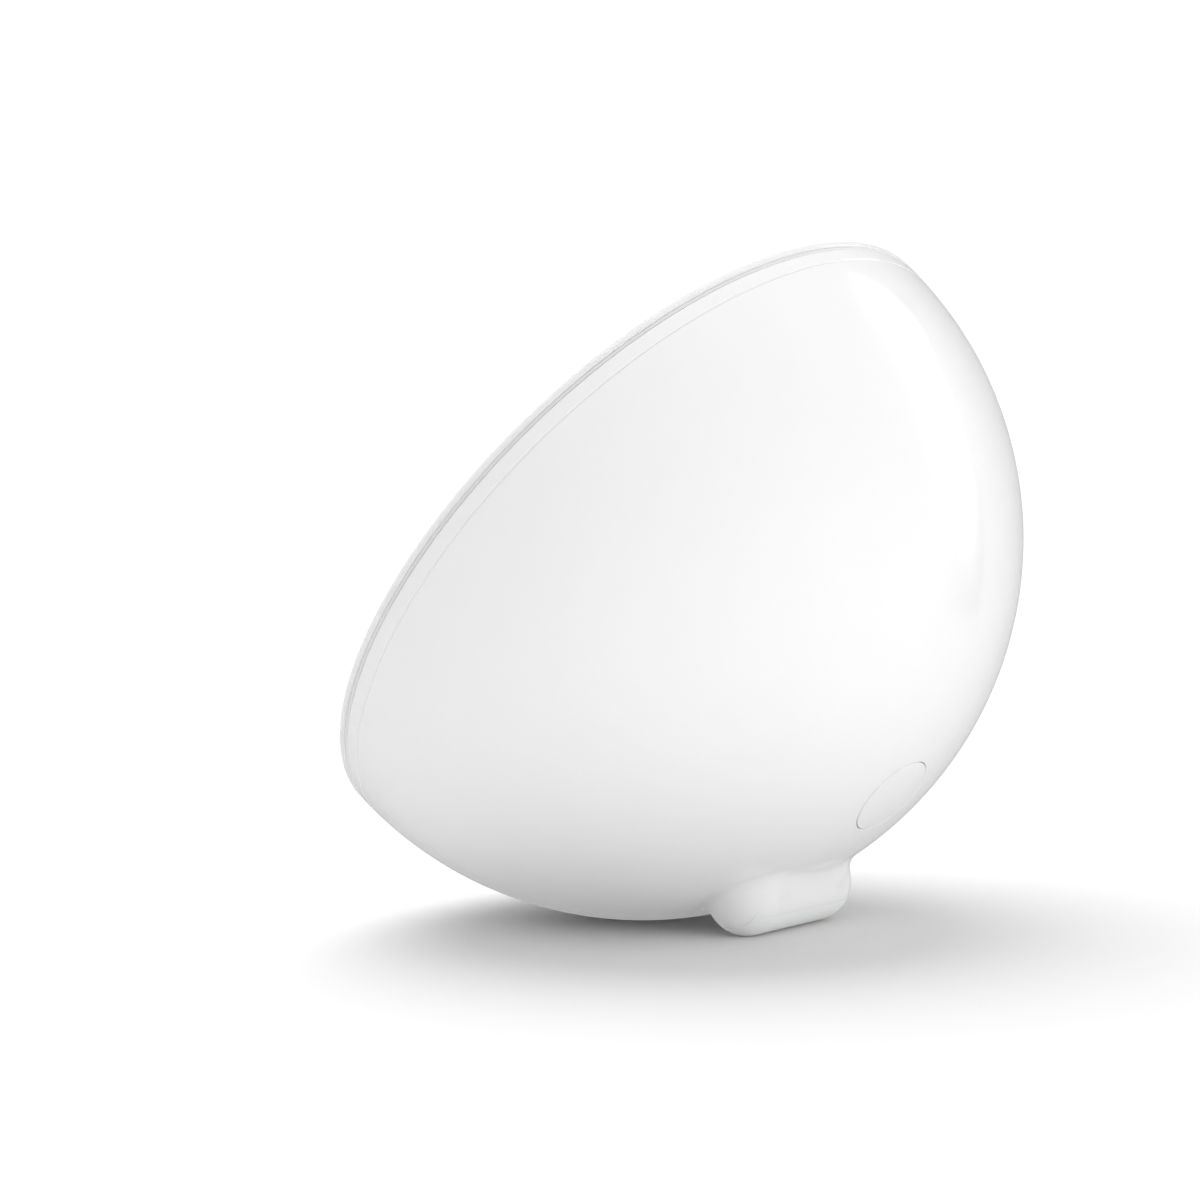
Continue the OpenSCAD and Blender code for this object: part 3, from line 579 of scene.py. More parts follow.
class BOWLLAMP_OT_panel(bpy.types.Operator):
    """Makes the domed light panel with its skirt and snap bead, and the seal in the joint behind it"""
    bl_idname = "bowl_lamp.panel"
    bl_label = "Light Panel and Seal"

    def execute(self, context):
        bowl, panel, _, _ = lamp_groups(context.scene)
        dome_r = (BOWL_R ** 2 + panel.dome ** 2) / (2 * panel.dome)
        middle = panel.dome - dome_r
        edge = panel.edge_round
        flat = BOWL_R - edge
        shoulder = middle + math.sqrt(dome_r ** 2 - flat ** 2) - edge
        tilt = math.degrees(math.asin(flat / dome_r))
        inside_r = panel.skirt - panel.skirt_wall
        bead = -panel.skirt_length + 2.6 * MM

        def dome(r, inset=0):
            return middle + math.sqrt((dome_r - inset) ** 2 - r ** 2)

        profile = [(r, dome(r)) for r in np.linspace(0, flat - 0.2 * MM, 30)]
        profile += arc((flat, shoulder), edge, 90 - tilt, 0, 8)
        profile += arc((BOWL_R - 0.25 * MM, -panel.edge + 0.25 * MM), 0.25 * MM, 0, -90, 5)
        profile += [(panel.skirt, -panel.edge), (panel.skirt, bead + 0.8 * MM)]
        profile += [(panel.bead, bead + 0.7 * MM), (panel.bead, bead + 0.1 * MM), (panel.skirt, bead)]
        profile += [(panel.skirt, 0.3 * MM - panel.skirt_length),
                    (panel.skirt - 0.3 * MM, -panel.skirt_length)]
        profile += [(inside_r, -panel.skirt_length), (inside_r, dome(inside_r, panel.skin) - 1 * MM)]
        profile += [(r, dome(r, panel.skin)) for r in np.linspace(inside_r - 1 * MM, 0, 24)]
        made = to_mesh("light_panel", *turned(profile, 240))
        made.data.materials.append(opal_panel(panel.opal))
        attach(made, "lamp")
        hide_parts("front_panel")

        lip = 0.2 * MM
        low, high = -bowl.front, -panel.edge
        inner = panel.skirt + 0.3 * MM
        loop = [(inner, low), (panel.seal - lip, low),
                *arc((panel.seal - lip, low + lip), lip, -90, 0, 4)[1:],
                *arc((panel.seal - lip, high - lip), lip, 0, 90, 4), (inner, high)]
        seal = to_mesh("joint_seal", *turned(loop, 240))
        seal.data.materials.append(
            surface("Soft TPE Seal", panel.rubber, 0.6, 0.4 * MM, 0.01 * MM, 0.08, IOR=1.49))
        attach(seal, "lamp")
        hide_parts("rim_seal")
        return {"FINISHED"}


class BOWLLAMP_OT_button(bpy.types.Operator):
    """Makes the round push button, with a skin that carries on the bowl's"""
    bl_idname = "bowl_lamp.button"
    bl_label = "Push Button"

    def execute(self, context):
        bowl, _, _, button = lamp_groups(context.scene)
        edge = button.edge_round
        flat = button.radius - edge
        shoulder = -math.sqrt(BOWL_R ** 2 - flat ** 2) + edge
        tilt = math.degrees(math.asin(flat / BOWL_R))
        back = -button.flange_back
        post = back + button.flange_height
        profile = [(r, -math.sqrt(BOWL_R ** 2 - r ** 2)) for r in np.linspace(0, flat - 0.1 * MM, 20)]
        profile += arc((flat, shoulder), edge, tilt - 90, 0, 6)
        profile += [(button.radius, back), (button.flange, back), (button.flange, post), (button.post, post),
                    (button.post, post + button.post_height), (0, post + button.post_height)]
        made = to_mesh("push_button", *turned(profile, 120))
        made.data.materials.append(glossy_abs(bowl.plastic))
        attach(made, "button")
        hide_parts("power_button")
        return {"FINISHED"}


# ---------------------------------------------------------------- repeated fittings

def screw_frames():
    """Frames whose +Z points out of each set of screws' heads, all centred on the bowl's middle."""
    flip = Matrix.Rotation(math.pi, 4, "X")
    foot = LAMP @ Matrix.Rotation(FOOT_TURN, 4, "X")
    return {
        "button_board_screws": LAMP,
        "battery_tray_screws": foot,
        "chassis_screws": LAMP,
        "led_board_screws": LAMP,
        "main_board_screws": LAMP @ flip,
        "inlet_screws": inlet_frame() @ flip,
    }


def parts_of(node, place):
    """Boxes of a CAD node's separate solids, in the frame that place gives."""
    work = bmesh.new()
    work.from_mesh(frame["nodes"][node].data)
    bmesh.ops.remove_doubles(work, verts=work.verts, dist=1e-6)
    back = place.inverted()
    left, boxes = set(work.verts), []
    while left:
        front = [left.pop()]
        corners = []
        while front:
            vertex = front.pop()
            corners.append(tuple(back @ vertex.co))
            near = [edge.other_vert(vertex) for edge in vertex.link_edges]
            front += [v for v in near if v in left]
            left.difference_update(near)
        boxes.append((np.min(corners, 0), np.max(corners, 0)))
    work.free()
    return sorted(boxes, key=lambda box: tuple(np.round(box[0], 5)))


def points_object(name, places, attributes):
    """A mesh of loose points, one for each place, with a rotation and the given float attributes."""
    mesh = bpy.data.meshes.new(name)
    mesh.from_pydata([tuple(place.translation) for place in places], [], [])
    turns = mesh.attributes.new("turn", "FLOAT_VECTOR", "POINT")
    turns.data.foreach_set("vector", [v for place in places for v in place.to_euler()])
    for key, values in attributes.items():
        mesh.attributes.new(key, "FLOAT", "POINT").data.foreach_set("value", values)
    return linked_object(name, mesh)


def new_tree(name, **sockets):
    """A Geometry Nodes tree with a geometry input, the named inputs, and a geometry output."""
    tree = bpy.data.node_groups.new(name, "GeometryNodeTree")
    tree.interface.new_socket("Geometry", in_out="INPUT", socket_type="NodeSocketGeometry")
    for key, kind in sockets.items():
        tree.interface.new_socket(key.replace("_", " "), in_out="INPUT", socket_type=kind)
    tree.interface.new_socket("Geometry", in_out="OUTPUT", socket_type="NodeSocketGeometry")
    return tree, add(tree, "NodeGroupInput").outputs


def run_tree(made, tree, **values):
    """Runs a Geometry Nodes tree on an object and keeps the result as its plain mesh."""
    modifier = made.modifiers.new(tree.name, "NODES")
    modifier.node_group = tree
    for item in tree.interface.items_tree:
        key = item.name.replace(" ", "_")
        if item.in_out == "INPUT" and key in values:
            modifier[item.identifier] = values[key]
    made.data = evaluated_mesh(made)
    made.data.set_sharp_from_angle(angle=FITTING_SHARP)


def on_points(tree, points, instance, scale=None):
    """The instance on every point, turned as the point says and made real."""
    turn = add(tree, "GeometryNodeInputNamedAttribute", {"data_type": "FLOAT_VECTOR"}, {"Name": "turn"})
    rotation = add(tree, "FunctionNodeEulerToRotation", inputs={"Euler": turn.outputs["Attribute"]})
    inputs = {"Points": points, "Instance": instance, "Rotation": rotation.outputs["Rotation"]}
    if scale is not None:
        inputs["Scale"] = scale
    placed = add(tree, "GeometryNodeInstanceOnPoints", inputs=inputs)
    real = add(tree, "GeometryNodeRealizeInstances", inputs={"Geometry": placed.outputs["Instances"]})
    return real.outputs["Geometry"]


def finish_tree(tree, geometry, material):
    """Ends a tree with smooth shading and one material."""
    smooth = add(tree, "GeometryNodeSetShadeSmooth", inputs={"Geometry": geometry})
    painted = add(tree, "GeometryNodeSetMaterial", inputs={"Geometry": smooth.outputs["Geometry"],
                                                           "Material": material})
    add(tree, "NodeGroupOutput", inputs={"Geometry": painted.outputs["Geometry"]})


def screw_tree():
    """Pan-head screws on points: a head with a six-sided drive, and a shank with a real helical thread."""
    tree, source = new_tree("pan_head_screws", Shank_Radius="NodeSocketFloat", Head_Radius="NodeSocketFloat",
                            Head_Height="NodeSocketFloat", Length="NodeSocketFloat", Pitch="NodeSocketFloat",
                            Material="NodeSocketMaterial")
    head = add(tree, "GeometryNodeMeshCylinder", inputs={"Vertices": 32, "Radius": source["Head Radius"],
                                                         "Depth": source["Head Height"]})
    half = add(tree, "ShaderNodeMath", {"operation": "MULTIPLY"}, {0: source["Head Height"], 1: 0.5})
    lift = add(tree, "ShaderNodeCombineXYZ", inputs={"Z": half.outputs["Value"]})
    head_up = add(tree, "GeometryNodeTransform", inputs={"Geometry": head.outputs["Mesh"],
                                                         "Translation": lift.outputs["Vector"]})
    # the drive is 0.45 of the head across, and goes half way down into it
    drive_r = add(tree, "ShaderNodeMath", {"operation": "MULTIPLY"}, {0: source["Head Radius"], 1: 0.45})
    drive = add(tree, "GeometryNodeMeshCylinder", inputs={"Vertices": 6, "Radius": drive_r.outputs["Value"],
                                                          "Depth": source["Head Height"]})
    deep = add(tree, "ShaderNodeCombineXYZ", inputs={"Z": source["Head Height"]})
    drive_up = add(tree, "GeometryNodeTransform", inputs={"Geometry": drive.outputs["Mesh"],
                                                          "Translation": deep.outputs["Vector"]})
    cut = add(tree, "GeometryNodeMeshBoolean", {"operation": "DIFFERENCE", "solver": "EXACT"},
              {0: head_up.outputs["Geometry"], 1: drive_up.outputs["Geometry"]})
    # the shank, with six rows of points to each turn of its thread
    turns = add(tree, "ShaderNodeMath", {"operation": "DIVIDE"}, {0: source["Length"], 1: source["Pitch"]})
    rows = add(tree, "ShaderNodeMath", {"operation": "MULTIPLY"}, {0: turns.outputs["Value"], 1: 6.0})
    shank = add(tree, "GeometryNodeMeshCylinder",
                inputs={"Vertices": 16, "Side Segments": rows.outputs["Value"],
                        "Radius": source["Shank Radius"], "Depth": source["Length"]})
    place = add(tree, "GeometryNodeInputPosition")
    split = add(tree, "ShaderNodeSeparateXYZ", inputs={"Vector": place.outputs["Position"]})
    angle = add(tree, "ShaderNodeMath", {"operation": "ARCTAN2"},
                {0: split.outputs["Y"], 1: split.outputs["X"]})
    rise = add(tree, "ShaderNodeMath", {"operation": "DIVIDE"}, {0: split.outputs["Z"], 1: source["Pitch"]})
    phase = add(tree, "ShaderNodeMath", {"operation": "MULTIPLY_ADD"},
                {0: rise.outputs["Value"], 1: TURN, 2: angle.outputs["Value"]})
    wave = add(tree, "ShaderNodeMath", {"operation": "SINE"}, {0: phase.outputs["Value"]})
    # the thread runs from the shank's radius in to 0.88 of it
    depth = add(tree, "ShaderNodeMath", {"operation": "MULTIPLY_ADD"},
                {0: wave.outputs["Value"], 1: 0.06, 2: -0.06})
    flat = add(tree, "ShaderNodeCombineXYZ", inputs={"X": split.outputs["X"], "Y": split.outputs["Y"]})
    push = add(tree, "ShaderNodeVectorMath", {"operation": "SCALE"},
               {"Vector": flat.outputs["Vector"], "Scale": depth.outputs["Value"]})
    threaded = add(tree, "GeometryNodeSetPosition", inputs={"Geometry": shank.outputs["Mesh"],
                                                            "Offset": push.outputs["Vector"]})
    down = add(tree, "ShaderNodeMath", {"operation": "MULTIPLY"}, {0: source["Length"], 1: -0.5})
    drop = add(tree, "ShaderNodeCombineXYZ", inputs={"Z": down.outputs["Value"]})
    shank_down = add(tree, "GeometryNodeTransform", inputs={"Geometry": threaded.outputs["Geometry"],
                                                            "Translation": drop.outputs["Vector"]})
    both = add(tree, "GeometryNodeJoinGeometry",
               inputs={"Geometry": [cut.outputs["Mesh"], shank_down.outputs["Geometry"]]})
    finish_tree(tree, on_points(tree, source["Geometry"], both.outputs["Geometry"]), source["Material"])
    return tree


def boss_tree():
    """Round screw bosses on points, drawn out to each point's height and trimmed inside the bowl's wall."""
    tree, source = new_tree("screw_bosses", Radius="NodeSocketFloat", Hole="NodeSocketFloat",
                            Reach="NodeSocketFloat", Centre="NodeSocketVector",
                            Material="NodeSocketMaterial")
    body = add(tree, "GeometryNodeMeshCylinder",
               inputs={"Vertices": 48, "Radius": source["Radius"], "Depth": 1.0})
    bore = add(tree, "GeometryNodeMeshCylinder",
               inputs={"Vertices": 24, "Radius": source["Hole"], "Depth": 1.0})
    bore_up = add(tree, "GeometryNodeTransform", inputs={"Geometry": bore.outputs["Mesh"],
                                                         "Translation": (0, 0, 0.4)})
    cut = add(tree, "GeometryNodeMeshBoolean", {"operation": "DIFFERENCE", "solver": "EXACT"},
              {0: body.outputs["Mesh"], 1: bore_up.outputs["Geometry"]})
    down = add(tree, "GeometryNodeTransform", inputs={"Geometry": cut.outputs["Mesh"],
                                                      "Translation": (0, 0, -0.5)})
    height = add(tree, "GeometryNodeInputNamedAttribute", {"data_type": "FLOAT"}, {"Name": "height"})
    scale = add(tree, "ShaderNodeCombineXYZ", inputs={"X": 1.0, "Y": 1.0, "Z": height.outputs["Attribute"]})
    ball = add(tree, "GeometryNodeMeshUVSphere",
               inputs={"Segments": 128, "Rings": 64, "Radius": source["Reach"]})
    ball_there = add(tree, "GeometryNodeTransform", inputs={"Geometry": ball.outputs["Mesh"],
                                                            "Translation": source["Centre"]})
    standing = on_points(tree, source["Geometry"], down.outputs["Geometry"], scale.outputs["Vector"])
    trim = add(tree, "GeometryNodeMeshBoolean", {"operation": "INTERSECT", "solver": "EXACT"},
               {1: [standing, ball_there.outputs["Geometry"]]})
    finish_tree(tree, trim.outputs["Mesh"], source["Material"])
    return tree


def led_tree():
    """LED packages on points: a white body with a round well of yellow phosphor standing in it."""
    tree, source = new_tree("led_packages", Width="NodeSocketFloat", Height="NodeSocketFloat",
                            Body="NodeSocketMaterial", Phosphor="NodeSocketMaterial")
    size = add(tree, "ShaderNodeCombineXYZ", inputs={"X": source["Width"], "Y": source["Width"],
                                                     "Z": source["Height"]})
    body = add(tree, "GeometryNodeMeshCube", inputs={"Size": size.outputs["Vector"]})
    well_r = add(tree, "ShaderNodeMath", {"operation": "MULTIPLY"}, {0: source["Width"], 1: 0.4})
    well_h = add(tree, "ShaderNodeMath", {"operation": "MULTIPLY"}, {0: source["Height"], 1: 0.9})
    well = add(tree, "GeometryNodeMeshCylinder", inputs={"Vertices": 40, "Radius": well_r.outputs["Value"],
                                                         "Depth": source["Height"]})
    rise = add(tree, "ShaderNodeCombineXYZ", inputs={"Z": well_h.outputs["Value"]})
    well_up = add(tree, "GeometryNodeTransform", inputs={"Geometry": well.outputs["Mesh"],
                                                         "Translation": rise.outputs["Vector"]})
    cut = add(tree, "GeometryNodeMeshBoolean", {"operation": "DIFFERENCE", "solver": "EXACT"},
              {0: body.outputs["Mesh"], 1: well_up.outputs["Geometry"]})
    white = add(tree, "GeometryNodeSetMaterial", inputs={"Geometry": cut.outputs["Mesh"],
                                                         "Material": source["Body"]})
    fill_h = add(tree, "ShaderNodeMath", {"operation": "MULTIPLY"}, {0: source["Height"], 1: 0.06})
    fill_z = add(tree, "ShaderNodeMath", {"operation": "MULTIPLY"}, {0: source["Height"], 1: 0.43})
    fill = add(tree, "GeometryNodeMeshCylinder", inputs={"Vertices": 40, "Radius": well_r.outputs["Value"],
                                                         "Depth": fill_h.outputs["Value"]})
    fill_rise = add(tree, "ShaderNodeCombineXYZ", inputs={"Z": fill_z.outputs["Value"]})
    fill_up = add(tree, "GeometryNodeTransform", inputs={"Geometry": fill.outputs["Mesh"],
                                                         "Translation": fill_rise.outputs["Vector"]})
    yellow = add(tree, "GeometryNodeSetMaterial", inputs={"Geometry": fill_up.outputs["Geometry"],
                                                          "Material": source["Phosphor"]})
    both = add(tree, "GeometryNodeJoinGeometry",
               inputs={"Geometry": [white.outputs["Geometry"], yellow.outputs["Geometry"]]})
    ring = on_points(tree, source["Geometry"], both.outputs["Geometry"])
    add(tree, "NodeGroupOutput", inputs={"Geometry": ring})
    return tree


def head_places(node, place, head_height):
    """Each screw of a CAD node: the frame under its head, its length, and its spot in the given frame."""
    found = []
    for low, high in parts_of(node, place):
        under = high[2] - head_height
        spot = ((low[0] + high[0]) / 2, (low[1] + high[1]) / 2, under)
        found.append((place @ Matrix.Translation(spot), under - low[2], spot))
    return found


class BOWLLAMP_OT_screws(bpy.types.Operator):
    """Makes every set of pan-head screws with Geometry Nodes, where the CAD model has them"""
    bl_idname = "bowl_lamp.screws"
    bl_label = "Screws"

    def execute(self, context):
        sizes = context.scene.bowl_lamp_fittings
        tree = screw_tree()
        steel = finish_for("screw_steel")
        for node, place in screw_frames().items():
            found = head_places(node, place, sizes.head_height)
            made = points_object(node.replace("_screws", "_pan_heads"), [f[0] for f in found], {})
            run_tree(made, tree, Shank_Radius=sizes.shank, Head_Radius=sizes.head,
                     Head_Height=sizes.head_height, Length=found[0][1], Pitch=sizes.pitch,
                     Material=steel)
            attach(made, "lamp")
            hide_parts(node)
        return {"FINISHED"}


class BOWLLAMP_OT_bosses(bpy.types.Operator):
    """Makes the bowl's screw bosses with Geometry Nodes, from its wall up to what each screw holds"""
    bl_idname = "bowl_lamp.bosses"
    bl_label = "Screw Bosses"

    def execute(self, context):
        bowl = context.scene.bowl_lamp_bowl
        sizes = context.scene.bowl_lamp_fittings
        tree = boss_tree()
        frames = screw_frames()
        held = {"chassis_screws": (sizes.carrier, bowl.boss),
                "button_board_screws": (sizes.board, bowl.small_boss),
                "battery_tray_screws": (sizes.carrier, bowl.small_boss),
                "inlet_screws": (sizes.board, bowl.small_boss)}
        for node, (thickness, radius) in held.items():
            tops, heights = [], []
            for place, _, spot in head_places(node, frames[node], sizes.head_height):
                tops.append(place @ Matrix.Translation((0, 0, -thickness)))
                heights.append(spot[2] - thickness + math.sqrt(BOWL_R ** 2 - spot[0] ** 2 - spot[1] ** 2))
            made = points_object("bosses_under_" + node, tops, {"height": heights})
            run_tree(made, tree, Radius=radius, Hole=sizes.shank, Reach=BOWL_R - bowl.wall / 2,
                     Centre=tuple(CENTRE), Material=glossy_abs(bowl.plastic))
            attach(made, "lamp")
        return {"FINISHED"}


class BOWLLAMP_OT_leds(bpy.types.Operator):
    """Makes the ring of LED packages with Geometry Nodes"""
    bl_idname = "bowl_lamp.leds"
    bl_label = "LED Packages"

    def execute(self, context):
        places, width, height = [], 0, 0
        for low, high in parts_of("led_packages", LAMP):
            middle = (low + high) / 2
            height = high[2] - low[2]
            spin = math.atan2(middle[1], middle[0])
            places.append(LAMP @ Matrix.Translation(middle) @ Matrix.Rotation(spin, 4, "Z"))
            # only the box of a package that stands square to the axes is as wide as the package
            if abs(math.sin(2 * spin)) < 0.01:
                width = high[0] - low[0]
        made = points_object("led_ring", places, {})
        run_tree(made, led_tree(), Width=width, Height=height, Body=finish_for("reflector_white"),
                 Phosphor=finish_for("led_phosphor"))
        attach(made, "lamp")
        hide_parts("led_packages")
        return {"FINISHED"}


# ---------------------------------------------------------------- finishes of the CAD pieces

FINISHES = {
    # soft gasket, cloudy and matt from its moulding
    "gasket_silicone": ("Cloudy Silicone", "C9C9C8", 0.5, 0.4, 0.003, 0.05, dict(Subsurface_Weight=0.2)),
    # glass-filled nylon: dull, with a fine speckle of fibre ends
    "switch_black": ("Glass-Filled Nylon", "1B1B1D", 0.55, 0.12, 0.004, 0.2, dict(IOR=1.54)),
    # acetal: slippery, waxy and a little yellow
    "plunger_plastic": ("Acetal", "DDCFA8", 0.35, 0.5, 0.001, 0.05, dict(IOR=1.48)),
    # white solder mask over an aluminium base
    "led_board_white": ("White Solder Mask", "F1F1EF", 0.38, 0.6, 0.002, 0.03, dict(Coat_Weight=0.4)),
    # zinc plate: a bright grey with fine drawing lines
    "screw_steel": ("Zinc-Plated Steel", "C4C5C9", 0.33, 0.15, 0.002, 0.15, dict(Metallic=1.0)),
    # recycled ABS with a spark-eroded texture
    "tray_plastic": ("Spark-Textured ABS", "36383A", 0.6, 0.25, 0.012, 0.12, dict(IOR=1.53)),
    # heat-shrunk PVC sleeve: glossy, with faint shrink ripples
    "cell_wrap": ("Shrink-Wrapped PVC", "2C6AB0", 0.25, 3.0, 0.02, 0.1, dict(Coat_Weight=0.5)),
    # rolled nickel strip
    "nickel": ("Rolled Nickel Strip", "C9C7BF", 0.3, 0.1, 0.001, 0.1, dict(Metallic=1.0)),
    # closed-cell foam: every cell shows as a pit
    "foam": ("Closed-Cell Foam", "55575B", 0.9, 0.5, 0.12, 0.4, dict(IOR=1.45)),
    # moulded ABS carrier
    "carrier_plastic": ("Satin Moulded ABS", "DCDDDA", 0.45, 0.3, 0.006, 0.05, dict(IOR=1.53)),
    # gap pad: soft, grey-blue and dusty with filler
    "thermal_silicone": ("Filled Silicone Pad", "8A94A0", 0.75, 0.2, 0.02, 0.2, dict(IOR=1.41)),
    # phosphor set in clear silicone
    "led_phosphor": ("Phosphor in Silicone", "F0CF4A", 0.22, 0.08, 0.002, 0.15, dict(Coat_Weight=0.6)),
    # reflective white polycarbonate
    "reflector_white": ("Reflective Polycarbonate", "F5F5F3", 0.4, 0.8, 0.002, 0.02, dict(IOR=1.58)),
    # transfer-moulded epoxy with a fine matt skin
    "chip_black": ("Moulded Epoxy", "27292C", 0.5, 0.1, 0.004, 0.2, dict(IOR=1.55)),
    # tinned steel can
    "shield_tin": ("Tinned Steel", "B4B9BA", 0.28, 0.4, 0.003, 0.12, dict(Metallic=1.0)),
    # natural nylon of the small sockets
    "socket_nylon": ("Natural Nylon", "F0EEE6", 0.4, 0.4, 0.002, 0.05, dict(Subsurface_Weight=0.15)),
    # black nylon of the charging socket
    "socket_black": ("Black Nylon", "1C1D1F", 0.35, 0.3, 0.003, 0.15, dict(IOR=1.54)),
    # nickel-plated brass pin
    "contact_brass": ("Nickel-Plated Brass", "D3CDB9", 0.22, 0.2, 0.001, 0.08, dict(Metallic=1.0)),
    # pressed bracket, zinc plated
    "bracket_steel": ("Pressed Zinc-Plated Steel", "B5B7BA", 0.38, 0.6, 0.004, 0.15, dict(Metallic=1.0)),
    # PVC insulation of the leads
    "lead_red": ("Red PVC Insulation", "B8302A", 0.4, 0.6, 0.003, 0.1, dict(IOR=1.53)),
    "lead_black": ("Black PVC Insulation", "2B2B2D", 0.4, 0.6, 0.003, 0.1, dict(IOR=1.53)),
    "lead_yellow": ("Yellow PVC Insulation", "DDB52E", 0.4, 0.6, 0.003, 0.1, dict(IOR=1.53)),
}


def finish_for(slot):
    """The material of one of the record's slots, made once."""
    if slot == "circuit_board":
        return bpy.data.materials.get("Green Solder Mask") or solder_mask()
    if slot == "spreader_aluminium":
        return bpy.data.materials.get("Turned Aluminium") or turned_aluminium()
    name, base, roughness, grain, depth, variation, extra = FINISHES[slot]
    found = bpy.data.materials.get(name)
    return found or surface(name, linear(base), roughness, grain * MM, depth * MM, variation, **extra)


def solder_mask():
    """Green solder mask: a thin glossy film, raised and paler where copper tracks run under it."""
    material, tree = bare_material("Green Solder Mask")
    place = add(tree, "ShaderNodeTexCoord")
    centred = add(tree, "ShaderNodeMapping", inputs={"Vector": place.outputs["Object"],
                                                     "Rotation": (-LEAN, 0, 0)})
    # tracks 0.5 mm wide in rows 1.5 mm apart, broken into runs about 9 mm long
    tracks = add(tree, "ShaderNodeTexBrick",
                 inputs={"Vector": centred.outputs["Vector"], "Scale": 1.0, "Mortar Size": 0.25 * MM,
                         "Brick Width": 9 * MM, "Row Height": 1.5 * MM, "Mortar Smooth": 0.1,
                         "Color1": linear("1B6A42"), "Color2": linear("1F7448"), "Mortar": linear("2C8B58")})
    bump = add(tree, "ShaderNodeBump", inputs={"Height": tracks.outputs["Fac"], "Distance": 0.035 * MM,
                                               "Strength": 1.0})
    shader = add(tree, "ShaderNodeBsdfPrincipled",
                 inputs={"Base Color": tracks.outputs["Color"], "Roughness": 0.32, "Coat Weight": 0.5,
                         "Coat Roughness": 0.12, "Normal": bump.outputs["Normal"]})
    add(tree, "ShaderNodeOutputMaterial", inputs={"Surface": shader.outputs["BSDF"]})
    return material


def turned_aluminium():
    """Aluminium faced on a lathe: fine rings about the lamp's axis, which smear the gloss across them."""
    material, tree = bare_material("Turned Aluminium")
    place = add(tree, "ShaderNodeTexCoord")
    # into the lamp's frame, so the rings centre on its axis
    moved = add(tree, "ShaderNodeVectorMath", {"operation": "SUBTRACT"},
                {0: place.outputs["Object"], 1: tuple(CENTRE)})
    turned_back = add(tree, "ShaderNodeMapping", inputs={"Vector": moved.outputs["Vector"],
                                                         "Rotation": (-LEAN, 0, 0)})
    # feed marks 0.4 mm apart, drawn coarser than a real finishing cut so that they show;
    # the texture's bands are 2 pi / 20 apart at a scale of 1
    feed = 0.4 * MM
    rings = add(tree, "ShaderNodeTexWave", {"wave_type": "RINGS", "rings_direction": "Z"},
                {"Vector": turned_back.outputs["Vector"], "Scale": TURN / (20 * feed)})
    tone = add(tree, "ShaderNodeMix", {"data_type": "RGBA"},
               {"Factor": rings.outputs["Fac"], "A": linear("BFC2C6"), "B": linear("AEB1B6")})
    bump = add(tree, "ShaderNodeBump", inputs={"Height": rings.outputs["Fac"], "Distance": 0.004 * MM,
                                               "Strength": 1.0})
    shader = add(tree, "ShaderNodeBsdfPrincipled",
                 inputs={"Base Color": tone.outputs["Result"], "Metallic": 1.0, "Roughness": 0.3,
                         "Anisotropic": 0.4, "Normal": bump.outputs["Normal"]})
    add(tree, "ShaderNodeOutputMaterial", inputs={"Surface": shader.outputs["BSDF"]})
    return material


class BOWLLAMP_OT_finishes(bpy.types.Operator):
    """Gives every CAD piece that stays its own finish"""
    bl_idname = "bowl_lamp.finishes"
    bl_label = "Finishes"

    def execute(self, context):
        for part in frame["record"]["subparts"]:
            node = frame["nodes"][part["node"]]
            if node.hide_render:
                continue
            for place in node.material_slots:
                place.material = finish_for(part["material_slot"])
        return {"FINISHED"}


# ---------------------------------------------------------------- stage

def look_from(azimuth, elevation):
    """Unit vector towards azimuth and elevation: azimuth 0 is -Y and a quarter turn is +X."""
    return Vector((math.sin(azimuth) * math.cos(elevation), -math.cos(azimuth) * math.cos(elevation),
                   math.sin(elevation)))


def aimed(name, data, towards, distance=0, target=CENTRE):
    """A light or camera that looks along -towards at the target, from the given distance."""
    made = linked_object(name, data)
    made.rotation_mode = "QUATERNION"
    made.rotation_quaternion = towards.to_track_quat("Z", "Y")
    made.location = target + towards * distance
    return made


# The bent softbox as (azimuth, elevation, half width) stops in degrees: its image runs down the side of the
# bowl and bends over at the top. Over the given shares of its width and length the light dies away: at its
# first side, its second side, its start and its end.
STRIP_STOPS = [(-121, -14, 8), (-122.5, -4, 8), (-122.5, 4, 8), (-121.5, 12, 8),
               (-119, 21, 8.5), (-113, 29, 9), (-105, 33, 9), (-97, 35, 8)]
STRIP_FADE = (0.55, 0.02, 0.5, 0.02)


